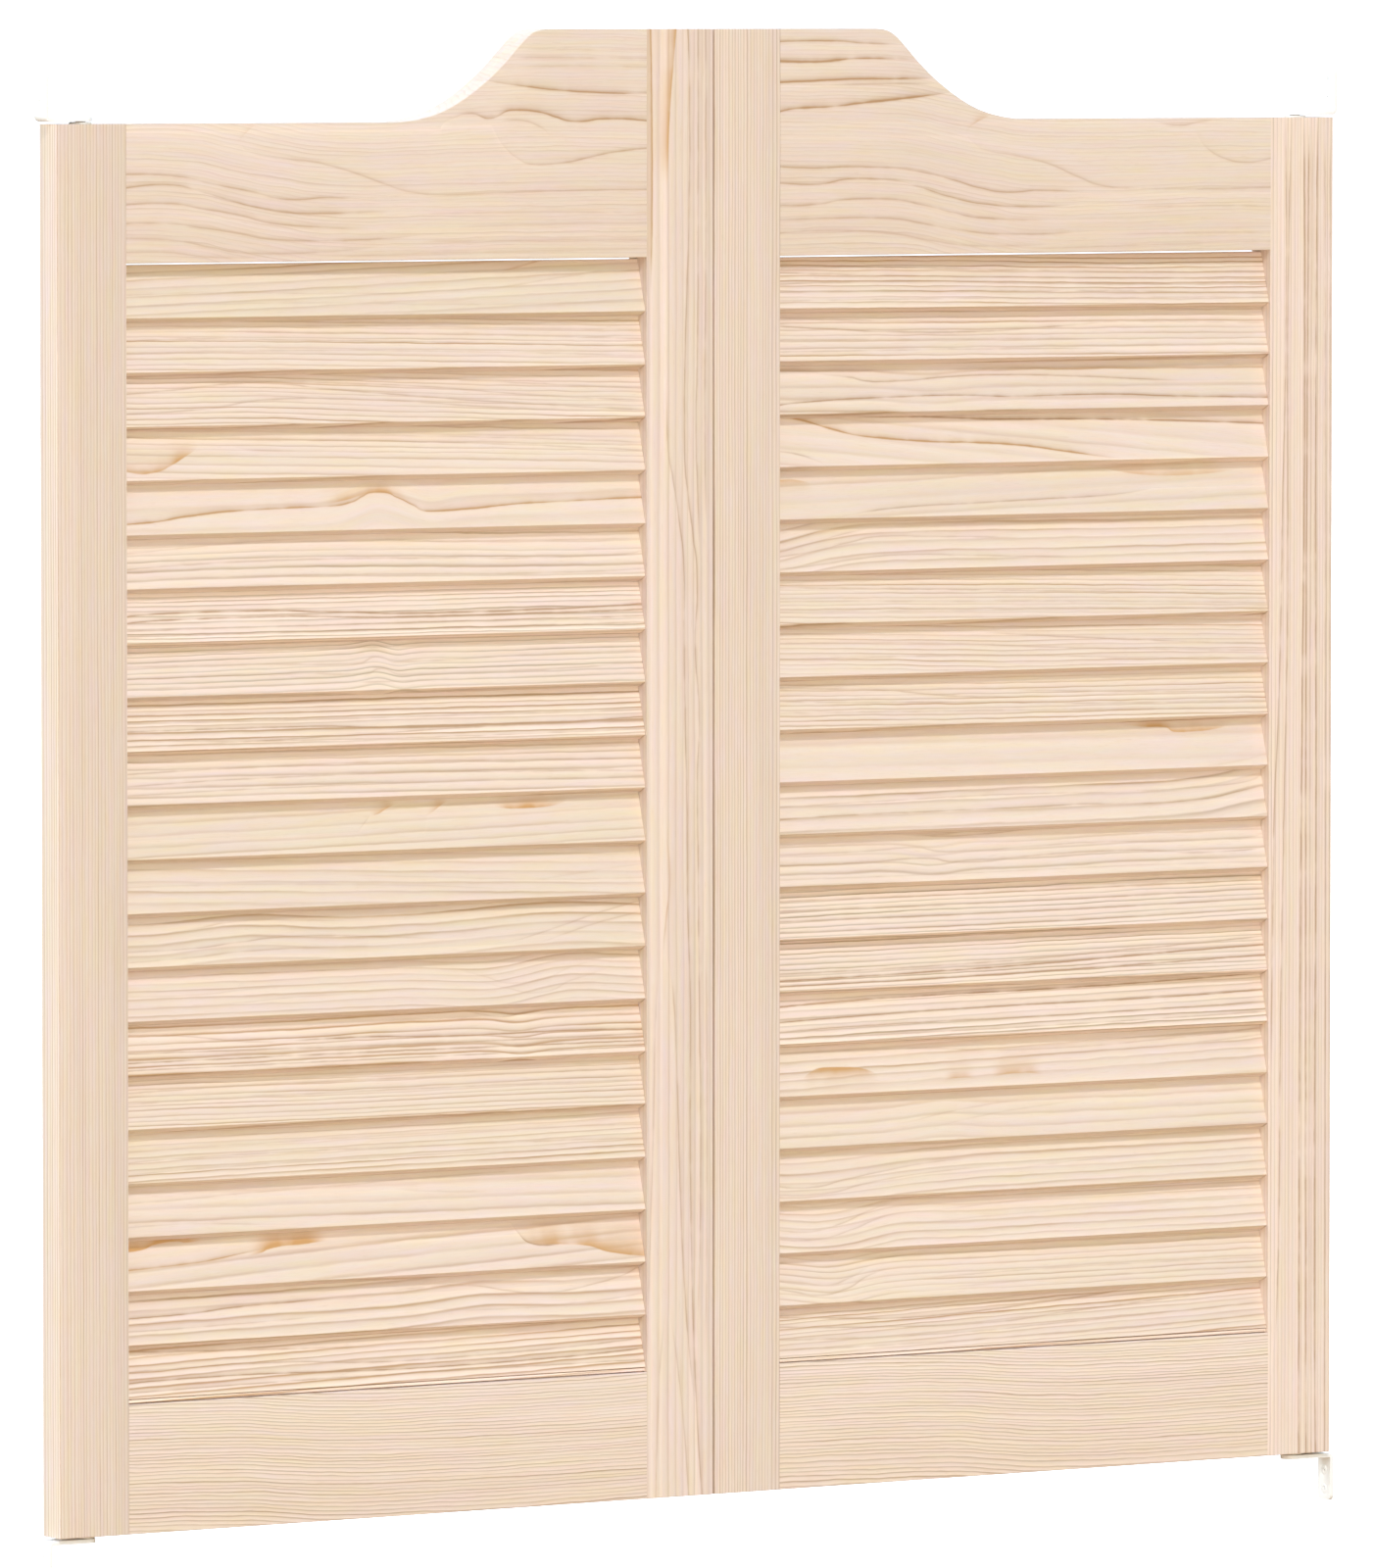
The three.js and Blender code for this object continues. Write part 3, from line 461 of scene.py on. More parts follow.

# the strongest ring edges, one by one: strength, shading, course
LINES = {
    "left": {
        1: [(0.73, 2.5, [(81, 9), (94, 11.5), (106, 14.5), (117, 16.5)]),
            (0.30, 1.2, [(56, -4), (98, 1.5), (136, 6.5), (166, 9)]),
            (0.26, 1.5, [(-183, -2.5), (-114, -1.5), (-39, -3), (36, -3.5)]),
            (0.22, 1.5, [(-183, -10), (-64, -8.5), (61, -11), (181, -10.5)])],
        2: [(0.44, 1.5, [(-183, 2), (-139, 3.5), (-89, 2.5), (-14, 0.5), (61, -1.5), (181, -5.5)]),
            (0.44, 1.2, [(-114, 7.5), (-14, 5.5), (61, 3.5), (181, -0.5)]),
            (0.35, 1.2, [(-183, -5.5), (-89, -4.5), (36, -6.5), (181, -11.5)]),
            (0.35, 1, [(-89, 11), (11, 9.5), (98, 7), (181, 5)])],
        3: [(0.59, 1.5, [(-183, 3), (-139, 6), (-94, 9), (-39, 4.5), (36, -2), (111, -7.5), (181, -12)]),
            (0.50, 1.2, [(-183, -9), (-126, -6.5), (-69, -1), (-14, -2.5), (61, -7.5), (136, -12.5)]),
            (0.50, 1.2, [(-84, 9.5), (-26, 8), (36, 4.5), (111, -2), (181, -6)]),
            (0.42, 1.2, [(-39, 12), (36, 9.5), (111, 5.5), (181, 1.5)])],
        4: [(1.06, 5, [(-183, -9), (-174, -12), (-162, -11.5), (-149, -7), (-139, -2), (-130, 3)]),
            (0.43, 1.2, [(-126, 7.5), (-39, 6), (61, 2.5), (181, -4)]),
            (0.38, 1.2, [(-64, 10), (11, 8), (86, 5.5), (181, 1)]),
            (0.38, 1.5, [(-106, 3.5), (-84, 0.5), (-39, 0)])],
        5: [(1.20, 2.2, [(-183, -10), (-164, -9), (-139, -6), (-102, -3), (-64, -2), (-39, -1.5), (-24, 0.5), (-14, 4.5), (-4, 6.5), (8, 3.5), (21, -2.5), (31, -6), (61, -5), (98, -2.5), (136, -1.5), (181, -0.5)]),
            (0.75, 3, [(-49, -1), (-26, 2.5), (-14, 5.5), (-4, 7), (6, 5.5), (18, 0)])],
        6: [(0.48, 1.4, [(-183, -5), (-139, -2.5), (-64, -1), (36, -2), (111, -3.5), (181, -1)]),
            (0.44, 1.4, [(-183, -12), (-89, -10.5), (11, -11.5), (111, -13), (181, -12)]),
            (0.34, 1.2, [(-183, 5), (-139, 8), (-89, 11), (-39, 12)]),
            (0.32, 1.2, [(-26, 9), (61, 8), (181, 7)])],
        7: [(1.02, 1.2, [(-183, -1.5), (-114, 1.5), (-39, -0.5), (36, -3), (181, -1)]),
            (1.02, 1.2, [(-183, -5), (-89, -2.5), (11, -5), (181, -4.5)]),
            (0.77, 1, [(-183, -9), (-14, -8.5), (181, -8.5)]),
            (0.68, 1, [(-183, -12.5), (11, -12.5), (181, -12.5)])],
        8: [(0.40, 1.2, [(-183, 2), (-89, 1.5), (-19, 0), (-5, 4), (8, 0.5), (86, 2), (181, 3)]),
            (0.40, 1.2, [(-183, -5.5), (-64, -5), (-14, -6.5), (-4, -3.5), (11, -7.5), (181, -4.5)]),
            (0.34, 1, [(-183, -11.5), (-14, -11.5), (181, -11)])],
        9: [(0.62, 1.2, [(-183, 5.5), (-64, 4.5), (61, 3.5), (181, 3.5)]),
            (0.81, 1.2, [(-183, -4.5), (-64, -4.5), (36, -7.5), (181, -5.5)]),
            (0.68, 1.2, [(-183, -14), (-89, -12.5), (-14, -10.5), (86, -8), (181, -8)]),
            (0.50, 1, [(-183, 0.5), (-14, -0.5), (181, -1)]),
            (0.50, 1, [(-183, -9), (-14, -13.5), (181, -13)])],
        10: [(0.58, 1.2, [(-183, 2.5), (-89, 4.5), (-14, 5), (86, 3.5), (181, 1.5)]),
            (0.53, 1.2, [(-183, -5), (-14, -2), (86, -3.5), (181, -6)]),
            (0.44, 1.2, [(-183, -10.5), (11, -8.5), (181, -10.5)])],
        11: [(1.10, 3.6, [(-9, 5), (-3, 6.5), (2, 9), (10, 12)]),
            (0.55, 1.2, [(-20, -5), (-14, 1), (-9, 5.5)]),
            (1.05, 3.6, [(30, 4), (35, 6.5), (40, 9.5), (46, 12.5)]),
            (0.45, 1.2, [(27, -6), (29, -1), (31, 4.5)]),
            (1.20, 4.0, [(79, 9), (85, 7), (98, 6.5), (116, 7), (131, 11)])],
        12: [(0.24, 1.4, [(-183, -0.5), (-114, -1), (-39, -3.5), (36, -7), (86, -11.5)]),
            (0.19, 1.4, [(98, -7), (148, -1.5), (181, 1.5)]),
            (0.22, 1.2, [(-39, 2.5), (36, -1.5), (111, -5.5), (181, -7)])],
        13: [(0.42, 1.4, [(-152, 3), (-126, 6.5), (-94, 9.5), (-64, 8.5), (-14, 6)]),
            (0.58, 1.5, [(-183, -7), (-139, -6.5), (-102, -3.5), (-64, -1.5), (-14, -3.5), (36, -7)]),
            (0.47, 1.2, [(-183, -13.5), (-139, -12), (-89, -9), (-39, -9), (11, -12)]),
            (0.44, 1.2, [(81, -12), (111, -5.5), (136, 1), (156, 6), (181, 11)]),
            (0.40, 1.2, [(106, -13), (136, -4.5), (161, 1), (181, 4.5)])],
        14: [(0.22, 1.2, [(-183, -1), (-139, -2), (-89, 0.5), (-49, 1.5)]),
            (0.22, 1.2, [(-183, -7.5), (-126, -8.5), (-64, -6), (-14, -5.5)]),
            (0.24, 1, [(48, 8), (71, 1.5), (91, -3.5), (111, -2), (131, 4.5), (161, 10)]),
            (0.24, 1, [(61, 0.5), (86, -6.5), (106, -10), (131, -3.5), (166, 5)])],
        15: [(1.02, 1.4, [(-76, 0), (-14, 0.5), (24, -1), (61, -1.5), (136, -1.5), (181, -3)]),
            (0.50, 1.2, [(-183, 8.5), (-139, 6), (-102, 1.5), (-69, -0.5)]),
            (0.72, 1.2, [(-183, -3), (-64, -4.5), (61, -5.5), (181, -5.5)]),
            (0.80, 1, [(-183, -9), (-14, -9), (181, -10)]),
            (0.72, 1, [(-183, -13.5), (-14, -13.5), (181, -13.5)]),
            (0.58, 1, [(56, 14.5), (71, 11), (84, 9), (98, 10.5), (121, 14)])],
        16: [(0.50, 1.2, [(-183, 5.5), (-64, 7), (61, 6.5), (181, 5.5)]),
            (0.43, 1, [(-183, -1), (-64, 0), (181, -1.5)])],
        17: [(0.45, 1.4, [(-183, -5), (-114, -2.5), (-14, -2.5), (181, -5)]),
            (0.34, 1.2, [(-183, -11.5), (-39, -8.5), (181, -10)]),
            (0.28, 1.2, [(-183, 3), (-89, 4), (61, 5), (181, 3.5)])],
        18: [(0.38, 1.6, [(-183, 4), (-139, 5), (-106, 6.5), (-39, 8), (36, 10.5), (111, 11.5)]),
            (0.32, 1.4, [(6, 4), (36, 1.5), (76, -0.5)]),
            (0.33, 1.5, [(-183, -10.5), (-152, -10), (-102, -12), (-66, -14.5)])],
        19: [(1.20, 6, [(-185, 7.5), (-169, 8.5), (-159, 11.5), (-143, 12.5), (-138, 11.5), (-124, 14)]),
            (1.20, 7, [(-96, 1), (-86, 3), (-82, 4.5), (-72, 6), (-59, 6.5), (-39, 8)]),
            (0.84, 2, [(-185, -4), (-152, -2.5), (-124, -0.5), (-102, 2.5), (-82, 5)]),
            (0.90, 9, [(92, 11.5), (95, 6.5), (103, -1), (124, -2.5), (144, -4.5), (156, -8.5), (181, -12.5)]),
            (0.84, 1, [(91, 12), (95, 6), (103, -1), (124, -2.5)])],
        20: [(0.90, 1.8, [(-185, -0.5), (-139, 0.5), (-102, 3), (-64, 4), (-29, 5)]),
            (0.49, 1.4, [(-185, -8.5), (-114, -7.5), (-39, -5.5)]),
            (0.53, 1.4, [(-9, 4), (36, 8.5), (61, 7.5), (86, 3.5), (111, 0.5), (148, 4), (181, 12.5)]),
            (0.38, 1.2, [(24, -3), (86, -8), (136, -7), (181, -3.5)])],
        21: [(0.77, 1.4, [(-185, 13), (-164, 11.5), (-126, 10), (-64, 8), (11, 5.5)]),
            (0.71, 1.2, [(-185, -0.5), (-89, 0.5), (11, -3.5), (86, -2.5), (181, 1.5)]),
            (0.94, 1.2, [(-185, -7.5), (-114, -6), (-39, -7.5), (36, -8.5), (111, -7.5), (181, -5)]),
            (0.71, 1, [(-185, -13), (-39, -11.5), (181, -12)])],
        "top": [(0.65, 1.8, [(-185, -16), (-153, -17), (-125, -22), (-96, -27), (-68, -32), (-42, -31), (-5, -34.5)]),
            (0.76, 2.2, [(-185, -24.5), (-156, -22.5), (-133, -26.5), (-110, -32.5), (-90, -37), (-68, -40), (-39, -40.5), (1, -39.5)]),
            (0.60, 2, [(-185, -34.5), (-156, -33.5), (-130, -37), (-105, -41), (-79, -46.5), (-53, -48.5), (-10, -50)]),
            (0.54, 2, [(-185, -45.5), (-159, -45.5), (-130, -48.5), (-105, -52), (-79, -56), (-39, -57), (24, -54)]),
            (0.41, 1.6, [(-185, -54), (-153, -55.5), (-125, -60), (-96, -64), (-56, -64), (-5, -60.5)]),
            (0.35, 1.6, [(-185, -62.5), (-153, -63), (-125, -66), (-85, -66.5)]),
            (0.43, 1.5, [(-103, 1), (-96, -4), (-79, -7), (-56, -9), (-39, -12.5), (-22, -17), (-5, -22.5), (18, -28.5), (35, -30), (75, -29), (187, -27.5)]),
            (0.45, 3, [(-105, 3), (-101, 7.5), (-93, 13.5)]),
            (0.91, 2.6, [(36, 9.5), (47, 17), (58, 19), (70, 16), (87, 21), (104, 20), (118, 16.5), (132, 14), (155, 15.5), (187, 13.5)]),
            (0.86, 2.6, [(61, 40), (90, 36), (118, 33), (155, 31), (187, 31)]),
            (0.76, 2, [(72, 12), (76, 5), (82, -2), (90, -8), (101, -12), (124, -11), (141, -8), (158, -5), (187, -2.5)]),
            (0.43, 1.2, [(76, 13), (90, 15), (104, 12), (113, 5)]),
            (0.43, 1.4, [(70, 53), (118, 52.5), (187, 52)]),
            (0.37, 1.4, [(70, 46), (118, 47.5), (187, 46.5)]),
            (0.30, 1.4, [(87, 58), (187, 57)]),
            (0.28, 1.4, [(12, -42), (75, -41), (187, -42)]),
            (0.26, 1.4, [(41, -50), (104, -48.5), (187, -48.5)]),
            (0.28, 1.4, [(12, -58.5), (104, -58), (187, -58.5)]),
            (0.26, 1.4, [(-56, -67), (47, -65), (187, -64)])],
        "meeting": [(0.68, 1.6, [(146, 19.5), (206, 18), (306, 18.5), (452, 18.5)]),
            (0.68, 1.6, [(126, 14.5), (176, 12.5), (206, 11.5), (246, 12.5), (306, 13), (452, 13)]),
            (0.70, 1.6, [(-344, 12.5), (-244, 15), (-144, 14), (-54, 13), (-9, 12.5), (26, 14), (76, 11), (106, 12.5), (136, 10), (166, 6), (206, 3), (241, 3.5), (291, 5), (331, 6.5), (396, 7), (452, 5.5)]),
            (0.74, 1.8, [(-452, 16), (-384, 11.5), (-324, 9), (-244, 7.5), (-144, 7.5), (-84, 5.5), (-24, 5), (16, 4), (76, 3), (116, 3), (146, 0), (176, -5), (201, -9), (236, -9.5)]),
            (0.84, -4, [(353, -9), (396, -7.5), (426, -5), (452, -2.5)]),
            (0.90, -2.9, [(286, -21), (356, -20), (452, -21)]),
            (0.56, 2, [(-119, -13), (-94, -10), (-69, -7.5), (-44, -10.5)]),
            (0.68, 1.8, [(-389, 10), (-324, 3.5), (-269, 0.5), (-194, -2), (-144, -4.5), (-127, -7), (-117, -9.5)]),
            (0.47, -1.8, [(-364, -23.5), (-294, -21.5), (-219, -19), (-154, -17.5), (-117, -14)]),
            (0.45, 1.8, [(-452, 6.5), (-404, 2.5), (-364, -2.5), (-349, -5), (-337, -8.5)]),
            (0.38, -1.8, [(-452, -17.5), (-404, -16), (-364, -14), (-349, -12), (-337, -9.5)]),
            (0.41, 1.4, [(-364, 18.5), (-244, 19.5), (-94, 18.5)])],
    },
    "right": {
        1: [(0.63, 1.2, [(-183, 12), (-114, 9.5), (-14, 6.5), (86, 4), (181, 3)]),
            (0.69, 1.2, [(-183, 6.5), (-89, 3.5), (11, 1.5), (181, -1.5)]),
            (0.63, 1.2, [(-183, -1), (-89, 0), (11, -2.5), (181, -5)]),
            (0.55, 1, [(-183, -6), (-64, -6.5), (61, -8), (181, -11)]),
            (0.42, 1, [(-183, -11.5), (-64, -11.5), (181, -13.5)])],
        2: [(0.73, 1.4, [(-183, 6), (-139, 3.5), (-89, 1), (-39, 0.5), (11, 2.5), (61, 5)]),
            (0.39, 1.2, [(-183, 11), (-64, 7.5), (61, 6), (181, 3.5)]),
            (0.51, 1.2, [(-183, -3), (-64, -4), (61, -5.5)]),
            (0.47, 1, [(-183, -10.5), (-64, -10.5), (61, -11.5)])],
        3: [(0.77, 1.4, [(-152, 8.5), (-126, 6), (-106, 3), (-84, 3.5), (-52, 5.5), (-14, 6), (36, 4.5), (86, 2), (126, 0)]),
            (1.02, 1.4, [(-183, -11), (-139, -8), (-102, -7), (-52, -6.5), (-2, -8), (48, -7.5), (111, -9.5), (181, -11.5)])],
        4: [(1.30, 2.2, [(-185, 17), (-164, 13.5), (-139, 6.5), (-122, 2.5), (-94, -0.5), (-69, -2.5), (-39, -3.5), (-2, -6), (31, -10.5), (56, -14), (72, -16)]),
            (1.27, 1.5, [(-185, 17), (-139, 15), (-76, 13.5), (-14, 11), (48, 10), (111, 8), (181, 5)]),
            (0.64, 1.2, [(-185, -6.5), (-169, -8.5), (-156, -12.5), (-147, -17)])],
        5: [(0.73, 1.6, [(-142, -18), (-114, -12.5), (-89, -10.5), (-39, -9), (11, -7.5), (61, -6), (98, -2)]),
            (0.55, 5, [(57, 14), (71, 10), (91, 7), (111, 6), (144, 7), (166, 10)]),
            (0.65, -3, [(-185, 7), (-174, 8.5), (-162, 7.5), (-154, 5)])],
        6: [(0.53, 1.4, [(-185, 0.5), (-164, 5), (-142, 10.5)]),
            (0.48, 1.4, [(-185, -7.5), (-152, -3.5), (-126, 1.5), (-102, 4.5), (-64, 3.5), (6, 1.5)]),
            (0.48, 1.4, [(-185, -15), (-152, -12.5), (-119, -9), (-89, -7.5), (-39, -9), (48, -12.5)]),
            (0.37, 1.2, [(-185, -3.5), (-159, 0.5), (-129, 7), (-109, 10)])],
        7: [(0.46, 1.2, [(-183, 7), (-64, 3), (36, -0.5), (181, -5.5)]),
            (0.41, 1.2, [(-183, -2), (-64, -4.5), (61, -7.5), (181, -11.5)]),
            (0.36, 1, [(-183, -8.5), (-39, -11), (181, -14.5)])],
        8: [(0.53, 1.2, [(-29, 8), (36, 3.5), (86, 0.5), (136, -2.5), (181, -4.5)]),
            (0.44, 1.2, [(-183, 4.5), (-64, 2), (36, -3.5), (181, -9)]),
            (0.40, 1, [(-183, -5.5), (-39, -6.5), (86, -11), (181, -13.5)])],
        9: [(0.51, 1.2, [(-183, 9.5), (-114, 7), (-39, 0.5), (24, -1.5)]),
            (0.46, 1.2, [(-183, 1), (-64, -2.5), (61, -6.5), (181, -8.5)]),
            (0.43, 1, [(-183, -6), (-39, -8.5), (181, -13)]),
            (0.41, 1, [(-14, 4.5), (61, 1), (181, -2.5)])],
        10: [(1.1, 3.5, [(76, 14.5), (91, 11), (110, 10), (116, 7), (144, 7.5), (160, 14.5)]),
            (0.24, 2, [(131, -16.5), (161, -13.5), (181, -10)])],
        11: [(0.75, 2, [(-185, 20), (-139, 21.5), (-89, 23), (-49, 24)]),
            (0.75, 1.2, [(-183, -7.5), (-139, -6), (-64, -5.5), (11, -5), (56, -4.5)]),
            (0.75, 1.4, [(1, -5.5), (36, -4.5), (98, -5.5), (136, -4), (161, -0.5), (181, 3)]),
            (0.43, 1.2, [(-183, 0.5), (-114, 2), (-14, 3.5), (86, 2.5), (181, 9.5)])],
        12: [(0.40, 1.2, [(-183, 3.5), (-114, 4), (-82, 5), (-69, 3.5), (-49, 1.5), (11, 3), (61, 4), (111, 2.5), (181, 5)]),
            (0.57, 1.2, [(-183, -3.5), (-114, -3), (-76, -2), (-59, -4), (-39, -5.5), (-2, -3.5), (61, -2), (111, -4), (136, -5.5), (181, -3)]),
            (0.32, 1, [(-183, -12), (-64, -12.5), (61, -12), (181, -13)]),
            (0.57, 1.5, [(-82, 15.5), (-69, 12.5), (-59, 11.5), (-14, 12.5), (1, 13.5), (21, 15)])],
        13: [(0.68, 1, [(-183, 7), (-14, 7.5), (181, 8.5)]),
            (0.68, 1, [(-183, 1), (-14, 1), (181, 3)]),
            (0.75, 1, [(-183, -5.5), (-14, -5.5), (181, -3.5)]),
            (0.68, 1, [(-183, -12.5), (-14, -12.5), (181, -10)])],
        14: [(1.10, 1.2, [(-183, -10), (-64, -8), (36, -5.5), (111, -2.5), (181, -0.5)]),
            (0.94, 1, [(-183, -13.5), (-14, -11.5), (181, -7)]),
            (0.68, 1.2, [(-183, -5.5), (-39, -4), (86, 0.5), (181, 5)])],
        15: [(0.99, 1.4, [(-183, 6.5), (-114, 9), (-39, 10), (61, 11), (181, 14.5)]),
            (0.92, 1.4, [(-183, -3), (-114, -1), (-14, 1), (86, 1.5), (181, 3.5)]),
            (0.79, 1.2, [(-183, -9), (-89, -7), (36, -6.5), (181, -4)]),
            (0.59, 1, [(-183, -13.5), (-14, -13), (181, -10.5)])],
        16: [(1.3, -4.5, [(-163, -7), (-156, -2), (-149, 0), (-134, 0), (-119, -1.5), (-108, -7)]),
            (0.40, 1.4, [(-183, 10.5), (-89, 10), (11, 5.5), (111, 8), (181, 12)]),
            (0.36, 1.2, [(-26, 1.5), (86, 3), (181, 7.5)]),
            (0.7, 5, [(-59, -11), (-49, -10), (-36, -10.5)]),
            (0.7, 5, [(-24, -11), (-6, -9), (14, -10.5)])],
        17: [(0.29, 1.4, [(-89, -5.5), (-59, 0.5), (-26, 4.5), (11, 7.5)]),
            (0.24, 1.4, [(-76, -10), (-39, -3.5), (1, 1), (48, 4)])],
        18: [(0.48, 1.4, [(-185, -5.5), (-159, -9), (-134, -5.5), (-106, -1.5), (-76, 2), (-29, 5)]),
            (0.39, 1.2, [(-185, -12.5), (-152, -13.5), (-119, -8.5), (-76, -4), (-14, -1.5)]),
            (0.32, 1.2, [(-14, -5.5), (61, -0.5), (181, 1)])],
        19: [(0.42, 1.4, [(-185, -0.5), (-159, -4), (-134, 0), (-114, 6.5), (-92, 12)]),
            (0.38, 1.2, [(-185, -7), (-156, -9), (-126, -4), (-106, 2), (-74, 7)]),
            (0.31, 1, [(-69, 4.5), (36, 9), (181, 10)]),
            (0.29, 1, [(-89, -3.5), (36, 1), (181, 2)])],
        20: [(0.47, 1.2, [(-185, -5), (-169, -8.5), (-152, -11.5), (-132, -8.5), (-114, -1), (-96, 3.5)]),
            (0.40, 1.2, [(-185, 0), (-166, -3.5), (-146, -5.5), (-129, -2), (-112, 5.5)]),
            (0.36, 1, [(-84, -5), (36, -3), (181, -4)]),
            (0.36, 1, [(-64, -11.5), (61, -9.5), (181, -10.5)]),
            (0.42, 1.5, [(-129, 13.5), (-119, 15.5), (-109, 17)])],
        21: [(0.75, 1.2, [(-183, 9), (-139, 6.5), (-89, 4), (-39, 5), (11, 8), (61, 11.5), (88, 15.5)]),
            (0.62, 1.2, [(-183, 3), (-114, -0.5), (-39, -2.5), (36, 1.5), (111, 6), (181, 10)]),
            (0.56, 1, [(-183, -5), (-64, -7.5), (36, -5), (181, 0)]),
            (0.50, 1, [(-183, -11.5), (-39, -12.5), (181, -7.5)])],
        "top": [(0.81, 1.6, [(-185, 62), (-148, 62.5), (-120, 61), (-91, 60)]),
            (1.26, 2.2, [(-185, 50), (-157, 49.5), (-128, 51.5), (-105, 51.5), (-80, 50)]),
            (1.09, 2, [(-185, 37), (-154, 38), (-128, 39), (-100, 39), (-65, 39.5)]),
            (0.50, 1.4, [(-151, 35.5), (-105, 36), (-65, 36)]),
            (1.30, 2.4, [(-185, 18.5), (-171, 21), (-148, 22), (-120, 24.5), (-91, 27), (-54, 31)]),
            (0.72, 1.8, [(-185, -14.5), (-160, -15.5), (-134, -15), (-105, -15.5), (-77, -19), (-54, -24), (-34, -29), (-14, -31.5), (9, -30.5), (49, -33)]),
            (0.74, 2, [(-185, -24.5), (-157, -25.5), (-131, -22.5), (-105, -23), (-82, -27.5), (-60, -33.5), (-34, -38.5), (-5, -40.5), (38, -39.5)]),
            (0.66, 2, [(-185, -38.5), (-157, -38), (-134, -35), (-105, -35), (-80, -38.5), (-57, -43.5), (-31, -47.5), (20, -49)]),
            (0.58, 2, [(-185, -47.5), (-148, -46.5), (-111, -46.5), (-77, -50.5), (-48, -55), (-14, -57.5), (49, -56)]),
            (0.41, 1.6, [(-185, -55.5), (-145, -54), (-105, -56), (-71, -61), (-37, -64.5), (20, -64)]),
            (0.60, 3, [(-46, 4.5), (-44, 8.5), (-38, 12.5), (-28, 16)]),
            (0.43, 1.5, [(-46, 3.5), (-41, -0.5), (-31, -5.5), (-8, -9), (15, -14), (38, -22.5), (60, -28.5), (89, -30), (183, -30)]),
            (0.43, 1.6, [(126, 4.5), (135, -5.5), (146, -11), (160, -14), (183, -11.5)]),
            (0.48, 2, [(95, 12.5), (112, 9.5), (129, 11.5), (146, 13)]),
            (0.31, 1.4, [(66, -42), (123, -41), (183, -42)]),
            (0.31, 1.4, [(60, -58.5), (123, -58), (183, -58.5)]),
            (0.29, 1.4, [(-8, -67), (95, -65), (183, -64)])],
        "outer": [(0.55, 0.8, [(-452, 24), (6, 22.5), (398, 21.5)]),
            (0.55, 0.8, [(-452, 20), (6, 19), (398, 17.5)]),
            (0.84, 0.9, [(-452, 13), (-244, 11.5), (-44, 12), (156, 11), (398, 12)]),
            (0.84, 0.9, [(-452, 5.5), (-194, 4.5), (6, 4), (206, 4.5), (398, 5.5)]),
            (0.95, 0.8, [(-452, 0), (-194, 0), (6, 1), (206, 2.5), (398, 1.5)]),
            (0.78, 0.9, [(-384, -20), (-294, -15.5), (-194, -15), (-44, -12.5), (106, -10), (256, -10.5), (398, -8)]),
            (0.78, 1.0, [(-209, -22), (-119, -21), (-44, -20), (6, -17.5), (66, -15.5), (156, -14), (256, -12), (398, -12.5)]),
            (0.45, 0.8, [(-452, 9.5), (-194, 8), (106, 7.5), (398, 8.5)])],
    },
}


def settled(ob, body, slot, material, *nodes):
    """Material, body and the CAD nodes that ob stands for. The slot argument is not used."""
    ob.data.materials.clear()
    ob.data.materials.append(material)
    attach(ob, body)
    if nodes:
        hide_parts(*nodes)


# ---------------------------------------------------------------- leaves
ALONG = (math.sin(LOUVRE_TILT), math.cos(LOUVRE_TILT))
ACROSS = (ALONG[1], -ALONG[0])


def louvre_middle(edge):
    return (-HALF + LOUVRE_SETBACK + ALONG[0] * LOUVRE_WIDTH / 2 + ACROSS[0] * LOUVRE_THICKNESS / 2,
            edge + ALONG[1] * LOUVRE_WIDTH / 2 + ACROSS[1] * LOUVRE_THICKNESS / 2)


def louvre_section(edge, grow=0.0, radius=LOUVRE_EDGE, steps=4, turn=0.0, drop=LOUVRE_HEEL):
    my, mz = louvre_middle(edge)
    ty, tz = math.sin(LOUVRE_TILT + turn), math.cos(LOUVRE_TILT + turn)
    loop = rounded(-LOUVRE_THICKNESS / 2 - grow, LOUVRE_THICKNESS / 2 + grow,
                   -LOUVRE_WIDTH / 2 - grow, LOUVRE_WIDTH / 2 + grow, radius + grow, steps)
    heel = [(a, b - (drop * (a / LOUVRE_THICKNESS + 0.5) if b < 0 else 0.0)) for a, b in loop]
    return [(my + a * tz + b * ty, mz - a * ty + b * tz) for a, b in heel]


def sweep_height(d):
    """Height of the top rail's upper edge at a distance from the leaf's outer edge."""
    if d <= SWEEP[0][0]:
        return LOW_HEIGHT
    if d >= SWEEP[-1][0]:
        return PEAK_HEIGHT
    for k in range(len(SWEEP) - 1):
        (x1, y1), (x2, y2) = SWEEP[k], SWEEP[k + 1]
        if x1 <= d <= x2:
            x0, y0 = SWEEP[k - 1] if k else (x1 - (x2 - x1), LOW_HEIGHT)
            x3, y3 = SWEEP[k + 2] if k + 2 < len(SWEEP) else (x2 + (x2 - x1), PEAK_HEIGHT)
            m1 = (y2 - y0) / (x2 - x0)
            m2 = (y3 - y1) / (x3 - x1)
            h = x2 - x1
            s = (d - x1) / h
            return ((2 * s**3 - 3 * s**2 + 1) * y1 + (s**3 - 2 * s**2 + s) * h * m1
                    + (-2 * s**3 + 3 * s**2) * y2 + (s**3 - s**2) * h * m2)
    return PEAK_HEIGHT


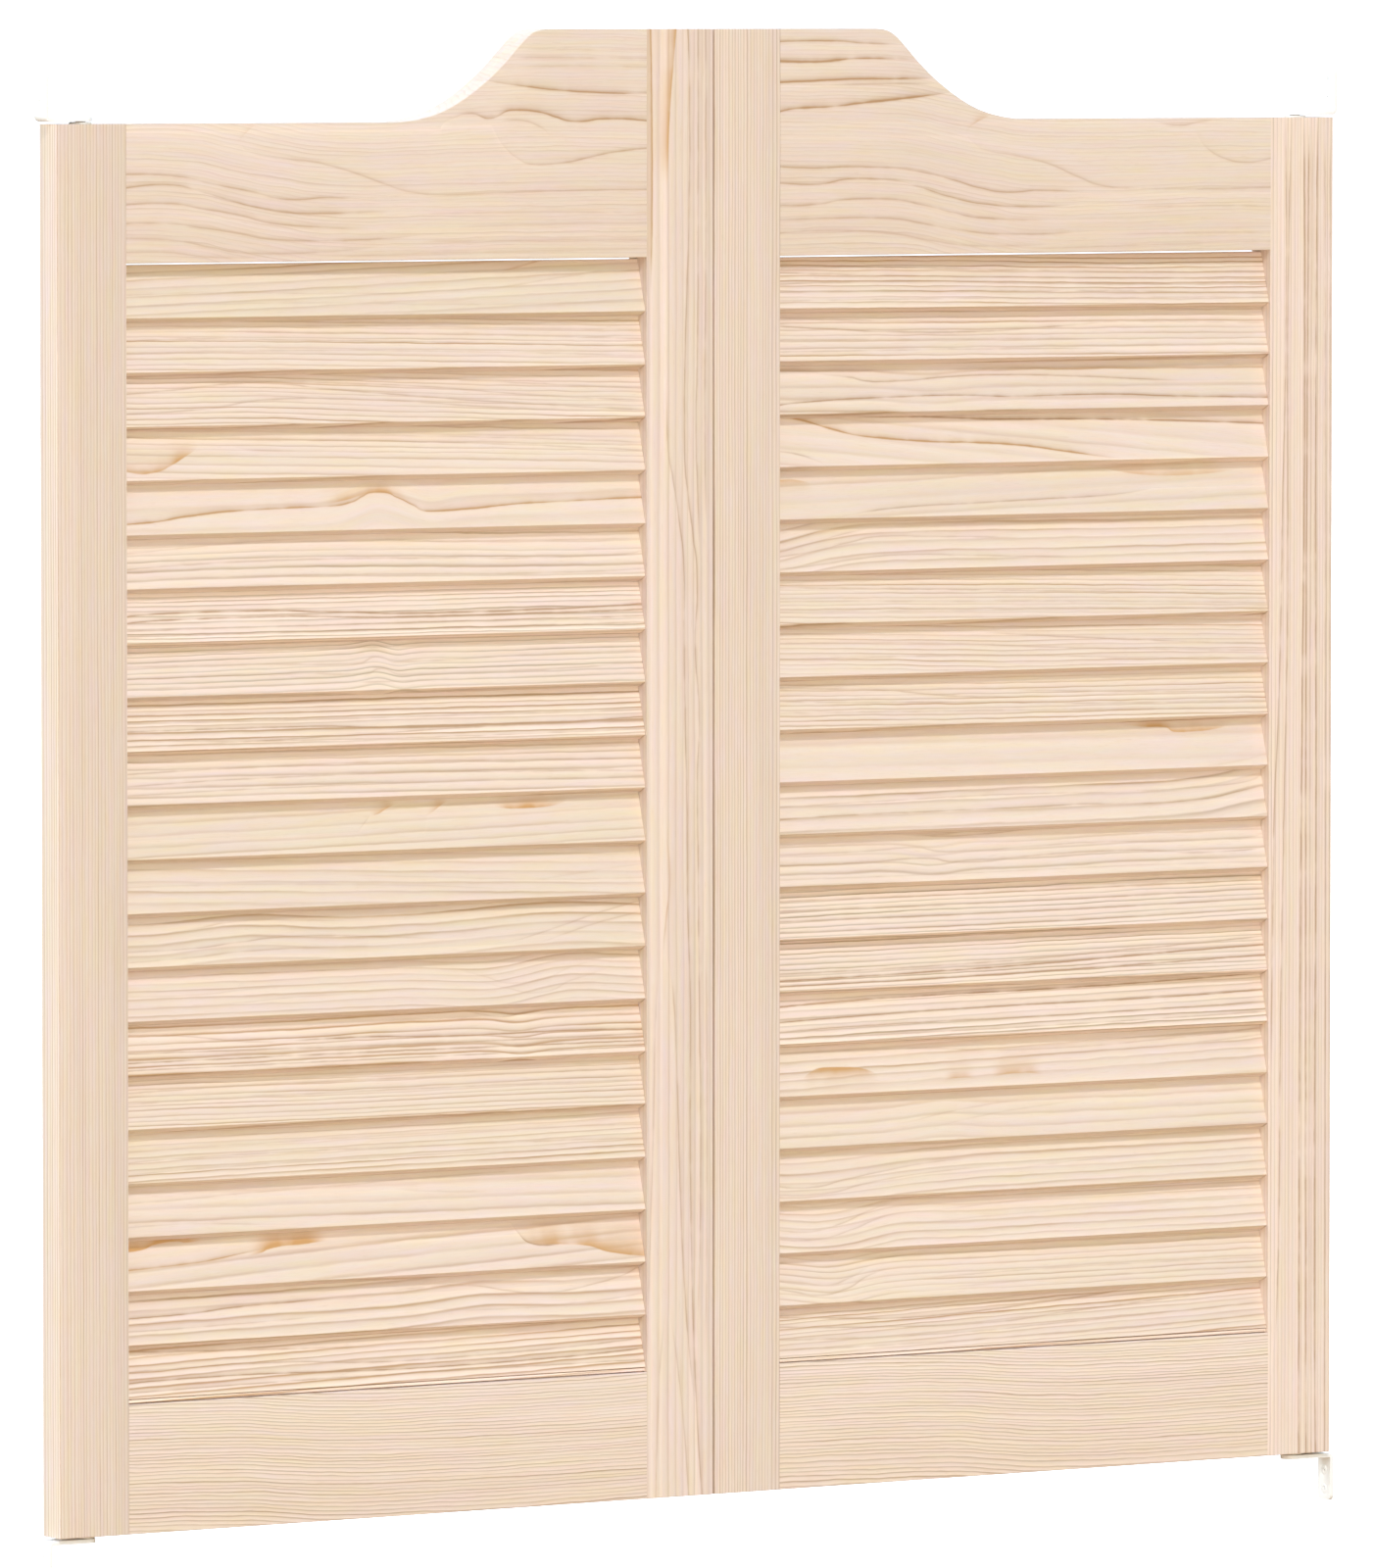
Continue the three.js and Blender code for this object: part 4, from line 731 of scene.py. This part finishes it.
def build_leaf(side):
    sign = -1 if side == "left" else 1
    body = f"leaf_{side}"

    def X(d):  # distance from the outer edge to X
        return sign * (OUTER - d)

    def stile(name, d0, d1, height, inner, **grain):
        bottom, top = FOOT, FOOT + height
        c = 0.3
        loops = []
        for z, inset in ((bottom, c), (bottom + c, 0), (top - c, 0), (top, c)):
            loops.append([(X(a), b, z) for a, b in rounded(d0 + inset, d1 - inset, -HALF + inset, HALF - inset, 0.3, 4)])
        ob = made(f"{side}_{name}_board", *lofted(loops))
        verts, faces = [], []

        def tool(vs, fs):
            base = len(verts)
            verts.extend(vs)
            faces.extend(tuple(base + k for k in f) for f in fs)

        a, b = (inner - LOUVRE_HOUSING - 0.2, inner + 6) if inner == d1 else (inner - 6, inner + LOUVRE_HOUSING + 0.2)
        for k in range(LOUVRES):
            loop = louvre_section(FOOT + LOUVRE_FIRST_EDGE - k * LOUVRE_PITCH, 0.22, drop=LOUVRE_HEEL if k < LOUVRES - 1 else 0.0)
            tool(*lofted([[(X(e), y, z) for y, z in loop] for e in (a, b)]))
        if name == "outer_stile":
            for end, up in ((bottom, 1), (top, -1)):
                deep = 58 if up > 0 else 28
                prof = [(0.0, end - 6 * up), (7.1, end - 6 * up), (7.1, end + 1.8 * up), (5.7, end + 1.8 * up), (5.7, end + deep * up), (0.0, end + deep * up)]
                n = 32
                ring = []
                for r, z in prof[1:5]:
                    ring.append([(X(PIVOT_INSET) + r * math.cos(2 * math.pi * q / n), r * math.sin(2 * math.pi * q / n), z) for q in range(n)])
                tool(*lofted(ring))
        cutter = made(f"{side}_{name}_tool", verts, faces)
        cut(ob, cutter)
        m = pine(f"pine_{side}_{name}", "stile", (X((d0 + d1) / 2), 0, FOOT + 450), **grain)
        settled(ob, body, "pine_stile", m, f"{side}_{name}")
        return ob

    def rail(name, stations, low, high, centre, **grain):
        loops = []
        for d in stations:
            z0, z1 = low(d), high(d)
            loops.append([(X(d), y, z) for y, z in rounded(-HALF, HALF, z0, z1, ARRIS, 4)])
        ob = made(f"{side}_{name}_board", *lofted(loops))
        m = pine(f"pine_{side}_{name}", "rail", centre, **grain)
        settled(ob, body, "pine_rail", m, f"{side}_{name}")
        return ob

    left = side == "left"
    marks = LINES[side]
    if left:
        stile("outer_stile", 0, STILE_WIDTH, LOW_HEIGHT, STILE_WIDTH, seed=1.3, py=-95, pz=55, sp=1.8, wander=1.0, wiggle=0.3, k=0.8, lift=1.0, spread=0.4)
        stile("meeting_stile", LEAF_WIDTH - STILE_WIDTH, LEAF_WIDTH + SEAM, PEAK_HEIGHT, LEAF_WIDTH - STILE_WIDTH, seed=2.2,
              py=-60, pz=40, sp=4.0, wander=1.6, wiggle=0.3, k=0.4, tone=0.45, lift=1.03, ash=0.6, lines=marks["meeting"])
    else:
        stile("outer_stile", 0, STILE_WIDTH, LOW_HEIGHT, STILE_WIDTH, seed=4.9, py=-80, pz=40, sp=2.2, wander=0.8, wiggle=0.25, k=0.66, tone=0.43, lift=1.1, spread=0.45, ash=0.7,
              lines=marks["outer"])
        stile("meeting_stile", LEAF_WIDTH - STILE_WIDTH, LEAF_WIDTH + SEAM, PEAK_HEIGHT, LEAF_WIDTH - STILE_WIDTH, seed=7.7,
              py=95, pz=60, sp=1.8, wander=1.0, wiggle=0.3, k=0.92, tone=0.48, lift=1.03, spread=0.4, ash=0.4)

    d0, d1 = STILE_WIDTH + JOINT, LEAF_WIDTH - STILE_WIDTH - JOINT
    coarse = [d0 + (d1 - d0) * k / 12 for k in range(13)]
    shift = 0 if left else 50
    rail("bottom_rail", coarse, lambda d: FOOT, lambda d: FOOT + BOTTOM_RAIL_HEIGHT,
         (X(LEAF_WIDTH / 2), 0, FOOT + BOTTOM_RAIL_HEIGHT / 2), seed=3.1 if left else 8.4, py=-85 if left else -75, pz=38,
         sp=1.9, wander=2.0, wiggle=0.8, k=1.3, tone=0.49, lift=1.078 if left else 1.098, spread=0.35, ash=0.7,
         flow=[(a + shift, h) for a, h in ((-240, 1), (-184, 0), (-110, -2.5), (-70, -6), (-40, -8.5), (10, -10.5), (190, -11))])
    fine = sorted({round(x, 3) for x in [d0 + (d1 - d0) * k / 14 for k in range(15)] + [230 + 2 * k for k in range(61)]})
    rail("top_rail", fine, lambda d: FOOT + TOP_RAIL_UNDERSIDE, lambda d: FOOT + sweep_height(d),
         (X(LEAF_WIDTH / 2), 0, FOOT + 830), seed=5.6 if left else 9.2, py=-110, pz=30, sp=2.3, wander=4.0, wiggle=1.2, k=0.3, lift=1.02, spread=0.6,
         flow=[(a + shift, h) for a, h in ((-240, 2), (-184, 2), (-150, 1), (-110, -5), (-75, -11), (-35, -15), (20, -15), (100, -14), (190, -15))],
         lines=marks["top"])

    for k in range(LOUVRES):
        edge = FOOT + LOUVRE_FIRST_EDGE - k * LOUVRE_PITCH
        turn, lift = math.radians(rng.uniform(-0.2, 0.2)), rng.uniform(-0.12, 0.12)
        bow, cast = rng.uniform(-0.25, 0.25), rng.uniform(-0.15, 0.15)
        last = k == LOUVRES - 1
        if last:
            turn = lift = bow = cast = 0.0
        loop = louvre_section(edge, turn=turn, drop=0.0 if last else LOUVRE_HEEL)
        e0, e1 = STILE_WIDTH - LOUVRE_HOUSING + 0.1, LEAF_WIDTH - STILE_WIDTH + LOUVRE_HOUSING - 0.1
        loops = []
        for q in range(13):
            f = q / 12
            arch = 4 * f * (1 - f)
            loops.append([(X(e0 + (e1 - e0) * f), y + cast * arch, z + lift + bow * arch * 0.5) for y, z in loop])
        if last:
            # between the stiles this one stands on the rail
            (fy, fz), (ry, rz) = loop[-1], loop[0]
            plain = [(fy + (ry - fy) * f, fz + (rz - fz) * f) for f in (0.05, 0.1, 0.15, 0.2, 0.3, 0.5, 0.7)]
            low = FOOT + BOTTOM_RAIL_HEIGHT + 0.1
            stood = [(fy + 3.0, fz - 0.2), (fy + 3.0, fz - 0.38), (fy + 0.25, fz - 0.5), (fy + 0.25, low + 0.7), (fy + 3.0, low + 0.7), (fy + 3.0, low), (ry - 0.4, low)]
            d0, d1 = STILE_WIDTH, LEAF_WIDTH - STILE_WIDTH
            loops = [[(X(d), y, z) for y, z in loop + foot]
                     for d, foot in ((e0, plain), (d0 - 0.05, plain), (d0 + 0.15, stood), (d1 - 0.15, stood), (d1 + 0.05, plain), (e1, plain))]
        ob = made(f"{side}_louvre_{k + 1:02d}_board", *lofted(loops))
        my, mz = louvre_middle(edge)
        m = pine(f"pine_{side}_louvre_{k + 1:02d}", "louvre", (X(LEAF_WIDTH / 2), my, mz), seed=rng.uniform(10, 90), lines=marks[k + 1], **{"lift": 1.045, "spread": 0.55, **GRAIN[side][k]})
        settled(ob, body, "pine_louvre", m, f"{side}_louvre_{k + 1:02d}")


build_leaf("left")
build_leaf("right")


# ---------------------------------------------------------------- fittings
def fitting(name, build):
    m = bpy.data.materials.new(name)
    m.use_nodes = True
    m.node_tree.nodes.clear()
    t = Tree(m.node_tree)
    place = t.vmath("MULTIPLY", t.new("ShaderNodeTexCoord").outputs["Object"], (1000, 1000, 1000))
    b = t.new("ShaderNodeBsdfPrincipled")
    build(t, place, b)
    t.put(t.new("ShaderNodeOutputMaterial").inputs[0], b.outputs[0])
    return m


def painted(t, place, b):
    """Off-white powder coat with a bare steel pivot pin."""
    x, y, z = t.split(place)
    dx = t.math("SUBTRACT", t.math("ABSOLUTE", x), PIVOT_X)
    r = t.math("SQRT", t.math("ADD", t.math("MULTIPLY", dx, dx), t.math("MULTIPLY", y, y)))
    low = t.math("GREATER_THAN", z, FOOT - CLEARANCE + 0.15)
    high = t.math("LESS_THAN", z, FOOT + LOW_HEIGHT + CLEARANCE - 0.15)
    pin = t.math("MULTIPLY", t.math("LESS_THAN", r, 3.3), t.math("MULTIPLY", low, high))
    peel = t.noise(t.vmath("MULTIPLY", place, (2.2, 2.2, 2.2)), 2.0)
    speck = t.noise(t.vmath("MULTIPLY", place, (0.35, 0.35, 0.35)), 3.0)
    paint = t.mix(speck, (0.92, 0.93, 0.94), (0.96, 0.97, 0.98))
    ring = t.noise(t.vmath("MULTIPLY", place, (0.4, 0.4, 9.0)), 2.0)
    steel = t.mix(ring, (0.70, 0.70, 0.70), (0.82, 0.82, 0.81))
    t.put(b.inputs["Base Color"], t.mix(pin, paint, steel))
    t.put(b.inputs["Metallic"], t.math("MULTIPLY", pin, 0.5))
    t.put(b.inputs["Roughness"], t.lerp(pin, t.lerp(speck, 0.36, 0.5), t.lerp(ring, 0.24, 0.36)))
    bump = t.new("ShaderNodeBump")
    bump.inputs["Strength"].default_value, bump.inputs["Distance"].default_value = 0.2, 0.00012
    t.put(bump.inputs["Height"], peel)
    t.put(b.inputs["Normal"], bump.outputs[0])


def acetal(t, place, b):
    cloud = t.noise(t.vmath("MULTIPLY", place, (0.5, 0.5, 0.5)), 3.0)
    t.put(b.inputs["Base Color"], t.mix(cloud, (0.77, 0.74, 0.66), (0.84, 0.81, 0.74)))
    t.put(b.inputs["Roughness"], t.lerp(cloud, 0.38, 0.52))
    bump = t.new("ShaderNodeBump")
    bump.inputs["Strength"].default_value, bump.inputs["Distance"].default_value = 0.1, 0.0001
    t.put(bump.inputs["Height"], t.noise(t.vmath("MULTIPLY", place, (1.5, 1.5, 6.0)), 2.0))
    t.put(b.inputs["Normal"], bump.outputs[0])


def wire(t, place, b):
    b.inputs["Metallic"].default_value = 1.0
    drawn = t.noise(t.vmath("MULTIPLY", place, (1.2, 1.2, 1.2)), 4.0)
    t.put(b.inputs["Base Color"], t.mix(drawn, (0.36, 0.37, 0.38), (0.55, 0.55, 0.55)))
    t.put(b.inputs["Roughness"], t.lerp(drawn, 0.25, 0.45))


def heads(t, place, b):
    """Screw heads in the brackets' colour."""
    bloom = t.noise(t.vmath("MULTIPLY", place, (0.9, 0.9, 0.9)), 3.0)
    t.put(b.inputs["Base Color"], t.mix(bloom, (0.88, 0.885, 0.89), (0.94, 0.945, 0.95)))
    t.put(b.inputs["Roughness"], t.lerp(bloom, 0.30, 0.44))


PAINTED, ACETAL, WIRE, HEADS = fitting("powder_coat", painted), fitting("acetal", acetal), fitting("spring_wire", wire), fitting("painted_heads", heads)


def bracket(node):
    """The bracket with its sheet edges eased."""
    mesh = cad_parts[node].data.copy()
    bm = bmesh.new()
    bm.from_mesh(mesh)
    bmesh.ops.remove_doubles(bm, verts=bm.verts, dist=1e-6)
    bmesh.ops.dissolve_limit(bm, angle_limit=math.radians(0.6), verts=bm.verts, edges=bm.edges)
    sharp = [e for e in bm.edges if len(e.link_faces) == 2 and e.calc_face_angle() > math.radians(35)]
    bmesh.ops.bevel(bm, geom=sharp, offset=0.3 * MM, segments=3, profile=0.5, affect="EDGES", clamp_overlap=True)
    bmesh.ops.recalc_face_normals(bm, faces=bm.faces)
    bm.to_mesh(mesh)
    bm.free()
    shaded(mesh, 35)
    ob = bpy.data.objects.new(f"{node}_sheet", mesh)
    bpy.context.scene.collection.objects.link(ob)
    settled(ob, "jamb_brackets", "bracket_paint", PAINTED, node)


def bush(side, where):
    sign = -1 if side == "left" else 1
    end, up = (FOOT, 1) if where == "lower" else (FOOT + LOW_HEIGHT, -1)
    prof = [(3.3, -0.7), (3.7, -1.1), (6.3, -1.1), (6.65, -0.95), (6.8, -0.6), (6.8, 1.5), (5.4, 1.5), (5.4, 12.4), (4.9, 12.9), (3.3, 12.9)]
    ob = made(f"{side}_{where}_bush_ring", *revolved([(r, end + up * h) for r, h in prof], sign * PIVOT_X, 48))
    settled(ob, f"leaf_{side}", "bush_polymer", ACETAL, f"{side}_{where}_bush")


def screw(side, where, k, height):
    """Countersunk screw with a cross recess, its head flush in the plate."""
    sign = -1 if side == "left" else 1
    face = sign * (OUTER + JAMB_GAP - BRACKET_SHEET)  # the plate's face towards the leaf
    prof = [(0.0, 0.05), (3.1, 0.05), (3.4, -0.1), (3.4, -0.25), (1.75, -1.9), (1.75, -2.5), (0.0, -2.5)]
    n = 32
    verts, faces = [], []
    for r, h in prof[1:-1]:
        for q in range(n):
            t = 2 * math.pi * q / n
            verts.append((face - sign * h, r * math.cos(t), height + r * math.sin(t)))
    rings = len(prof) - 2
    for a in range(rings - 1):
        for q in range(n):
            s = (q + 1) % n
            faces.append((a * n + q, a * n + s, (a + 1) * n + s, (a + 1) * n + q))
    faces.append(tuple(range(n)))
    faces.append(tuple((rings - 1) * n + q for q in range(n)))
    name = f"{side}_{where}_screw_{k}"
    ob = made(name, verts, faces)
    turn = rng.uniform(0, math.pi / 2)
    tv, tf = [], []
    arm, wide, tip = 1.75, 0.42, 0.28
    outline = [(arm, wide), (wide, wide), (wide, arm), (-wide, arm), (-wide, wide), (-arm, wide),
               (-arm, -wide), (-wide, -wide), (-wide, -arm), (wide, -arm), (wide, -wide), (arm, -wide)]
    loops = []
    for h, f in ((0.6, 1.1), (-1.3, 0.55)):
        loops.append([(face - sign * h, f * (a * math.cos(turn) - b * math.sin(turn)),
                       height + f * (a * math.sin(turn) + b * math.cos(turn))) for a, b in outline])
    tv, tf = lofted(loops)
    cut(ob, made(name + "_tool", tv, tf))
    settled(ob, "jamb_brackets", "bracket_paint", HEADS)


for side in ("left", "right"):
    for where in ("upper", "lower"):
        bracket(f"{side}_{where}_bracket")
        bush(side, where)
        for k, h in enumerate(SCREW_HOLES):
            screw(side, where, k + 1, FOOT - CLEARANCE - h if where == "lower" else FOOT + LOW_HEIGHT + CLEARANCE + h)
    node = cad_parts[f"{side}_closing_spring"]
    node.data.materials.clear()
    node.data.materials.append(WIRE)

# ---------------------------------------------------------------- stage
FLOOR_Z = -0.27


def studio_floor():
    """A pale floor that turns up into walls far away."""
    rings = [(30.0, 0.0)] + [(30 + 20 * math.sin(a), 20 - 20 * math.cos(a)) for a in (math.radians(9 * k) for k in range(1, 11))]
    n = 64
    verts = [(r * math.cos(2 * math.pi * k / n), r * math.sin(2 * math.pi * k / n), FLOOR_Z + h) for r, h in rings for k in range(n)]
    faces = [tuple(range(n))]
    for a in range(len(rings) - 1):
        for k in range(n):
            j = (k + 1) % n
            faces.append((a * n + k, a * n + j, (a + 1) * n + j, (a + 1) * n + k))
    mesh = bpy.data.meshes.new("floor")
    mesh.from_pydata(verts, [], faces)
    bm = bmesh.new()
    bm.from_mesh(mesh)
    bmesh.ops.recalc_face_normals(bm, faces=bm.faces)
    if bm.faces[0].normal.z < 0:
        bmesh.ops.reverse_faces(bm, faces=bm.faces)
    bm.to_mesh(mesh)
    bm.free()
    ob = bpy.data.objects.new("floor", mesh)
    bpy.context.scene.collection.objects.link(ob)
    m = bpy.data.materials.new("floor")
    m.use_nodes = True
    t = Tree(m.node_tree)
    b = m.node_tree.nodes["Principled BSDF"]
    b.inputs["Base Color"].default_value = (0.90, 0.90, 0.90, 1)
    b.inputs["Roughness"].default_value = 0.9
    b.inputs["Specular IOR Level"].default_value = 0.0
    b.inputs["Emission Color"].default_value = (1, 1, 1, 1)
    b.inputs["Emission Strength"].default_value = 0.8
    clear = t.new("ShaderNodeBsdfTransparent")
    mix = t.new("ShaderNodeMixShader")
    t.put(mix.inputs[0], t.new("ShaderNodeNewGeometry").outputs["Backfacing"])
    t.put(mix.inputs[1], b.outputs[0])
    t.put(mix.inputs[2], clear.outputs[0])
    t.put(m.node_tree.nodes["Material Output"].inputs[0], mix.outputs[0])
    mesh.materials.append(m)
    ob.visible_diffuse = ob.visible_glossy = ob.visible_shadow = False


studio_floor()

world = bpy.data.worlds.new("studio")
bpy.context.scene.world = world
world.use_nodes = True
wt = Tree(world.node_tree)
bg = world.node_tree.nodes["Background"]
height = wt.split(wt.new("ShaderNodeTexCoord").outputs["Generated"])[2]
BANDS = (((0.0, 0.23), (0.313, 0.123, 0.013)), ((0.27, 0.48), (0.318, 0.241, 0.148)), ((0.52, 0.73), (0.672, 0.799, 0.716)),
         ((0.77, 0.92), (0.062, 0.272, 0.667)), ((0.945, 1.0), (0.847, 0.738, 0.656)))  # from below to overhead
sky = wt.ramp(wt.math("ADD", wt.math("MULTIPLY", height, 0.5), 0.5), [(at, c) for ends, c in BANDS for at in ends])
wt.put(bg.inputs["Color"], sky)


def softbox(name, azimuth, elevation, distance, size, irradiance, color, aim=(0.0, 0.0, 0.48)):
    """Square light seen from the doors at that azimuth (0 is straight in front, negative to the left)."""
    a, e = math.radians(azimuth), math.radians(elevation)
    back = Vector((math.sin(a) * math.cos(e), -math.cos(a) * math.cos(e), math.sin(e)))
    data = bpy.data.lights.new(name, "AREA")
    data.shape, data.size, data.color = "SQUARE", size, color
    data.energy = irradiance * math.pi * math.pi * distance**2
    ob = bpy.data.objects.new(name, data)
    ob.location = Vector(aim) + back * distance
    ob.rotation_euler = back.to_track_quat("Z", "Y").to_euler()
    bpy.context.scene.collection.objects.link(ob)
    return ob


softbox("key", -25, 42.7, 26.0, 2.8, 0.432, (0.98, 0.972, 0.965))
softbox("front", -20, 0, 26.0, 11.1, 0.236, (1.43, 1.0, 0.763))
softbox("low", -20, -25, 26.0, 11.1, 0.228, (0.83, 1.0, 0.92))
softbox("side", -102, 12, 26.0, 11.1, 0.681, (0.965, 1.0, 1.02))
softbox("rear", 155, 37, 26.0, 7.4, 0.39, (1.0, 0.98, 0.95))

# ---------------------------------------------------------------- camera
cam = bpy.data.cameras.new("camera")
cam.sensor_width, cam.sensor_fit = 36.0, "AUTO"
cam.lens = 311.324
cam.clip_start, cam.clip_end = 0.1, 200.0
co = bpy.data.objects.new("camera", cam)
co.location = (-4.43478, -7.02843, 0.94949)
co.rotation_euler = (math.radians(90 - 3.31178), 0.0, math.radians(-32.17699))
bpy.context.scene.collection.objects.link(co)
bpy.context.scene.camera = co

vs = bpy.context.scene.view_settings
vs.view_transform, vs.look, vs.exposure, vs.gamma = "Standard", "None", 0.0, 1.0
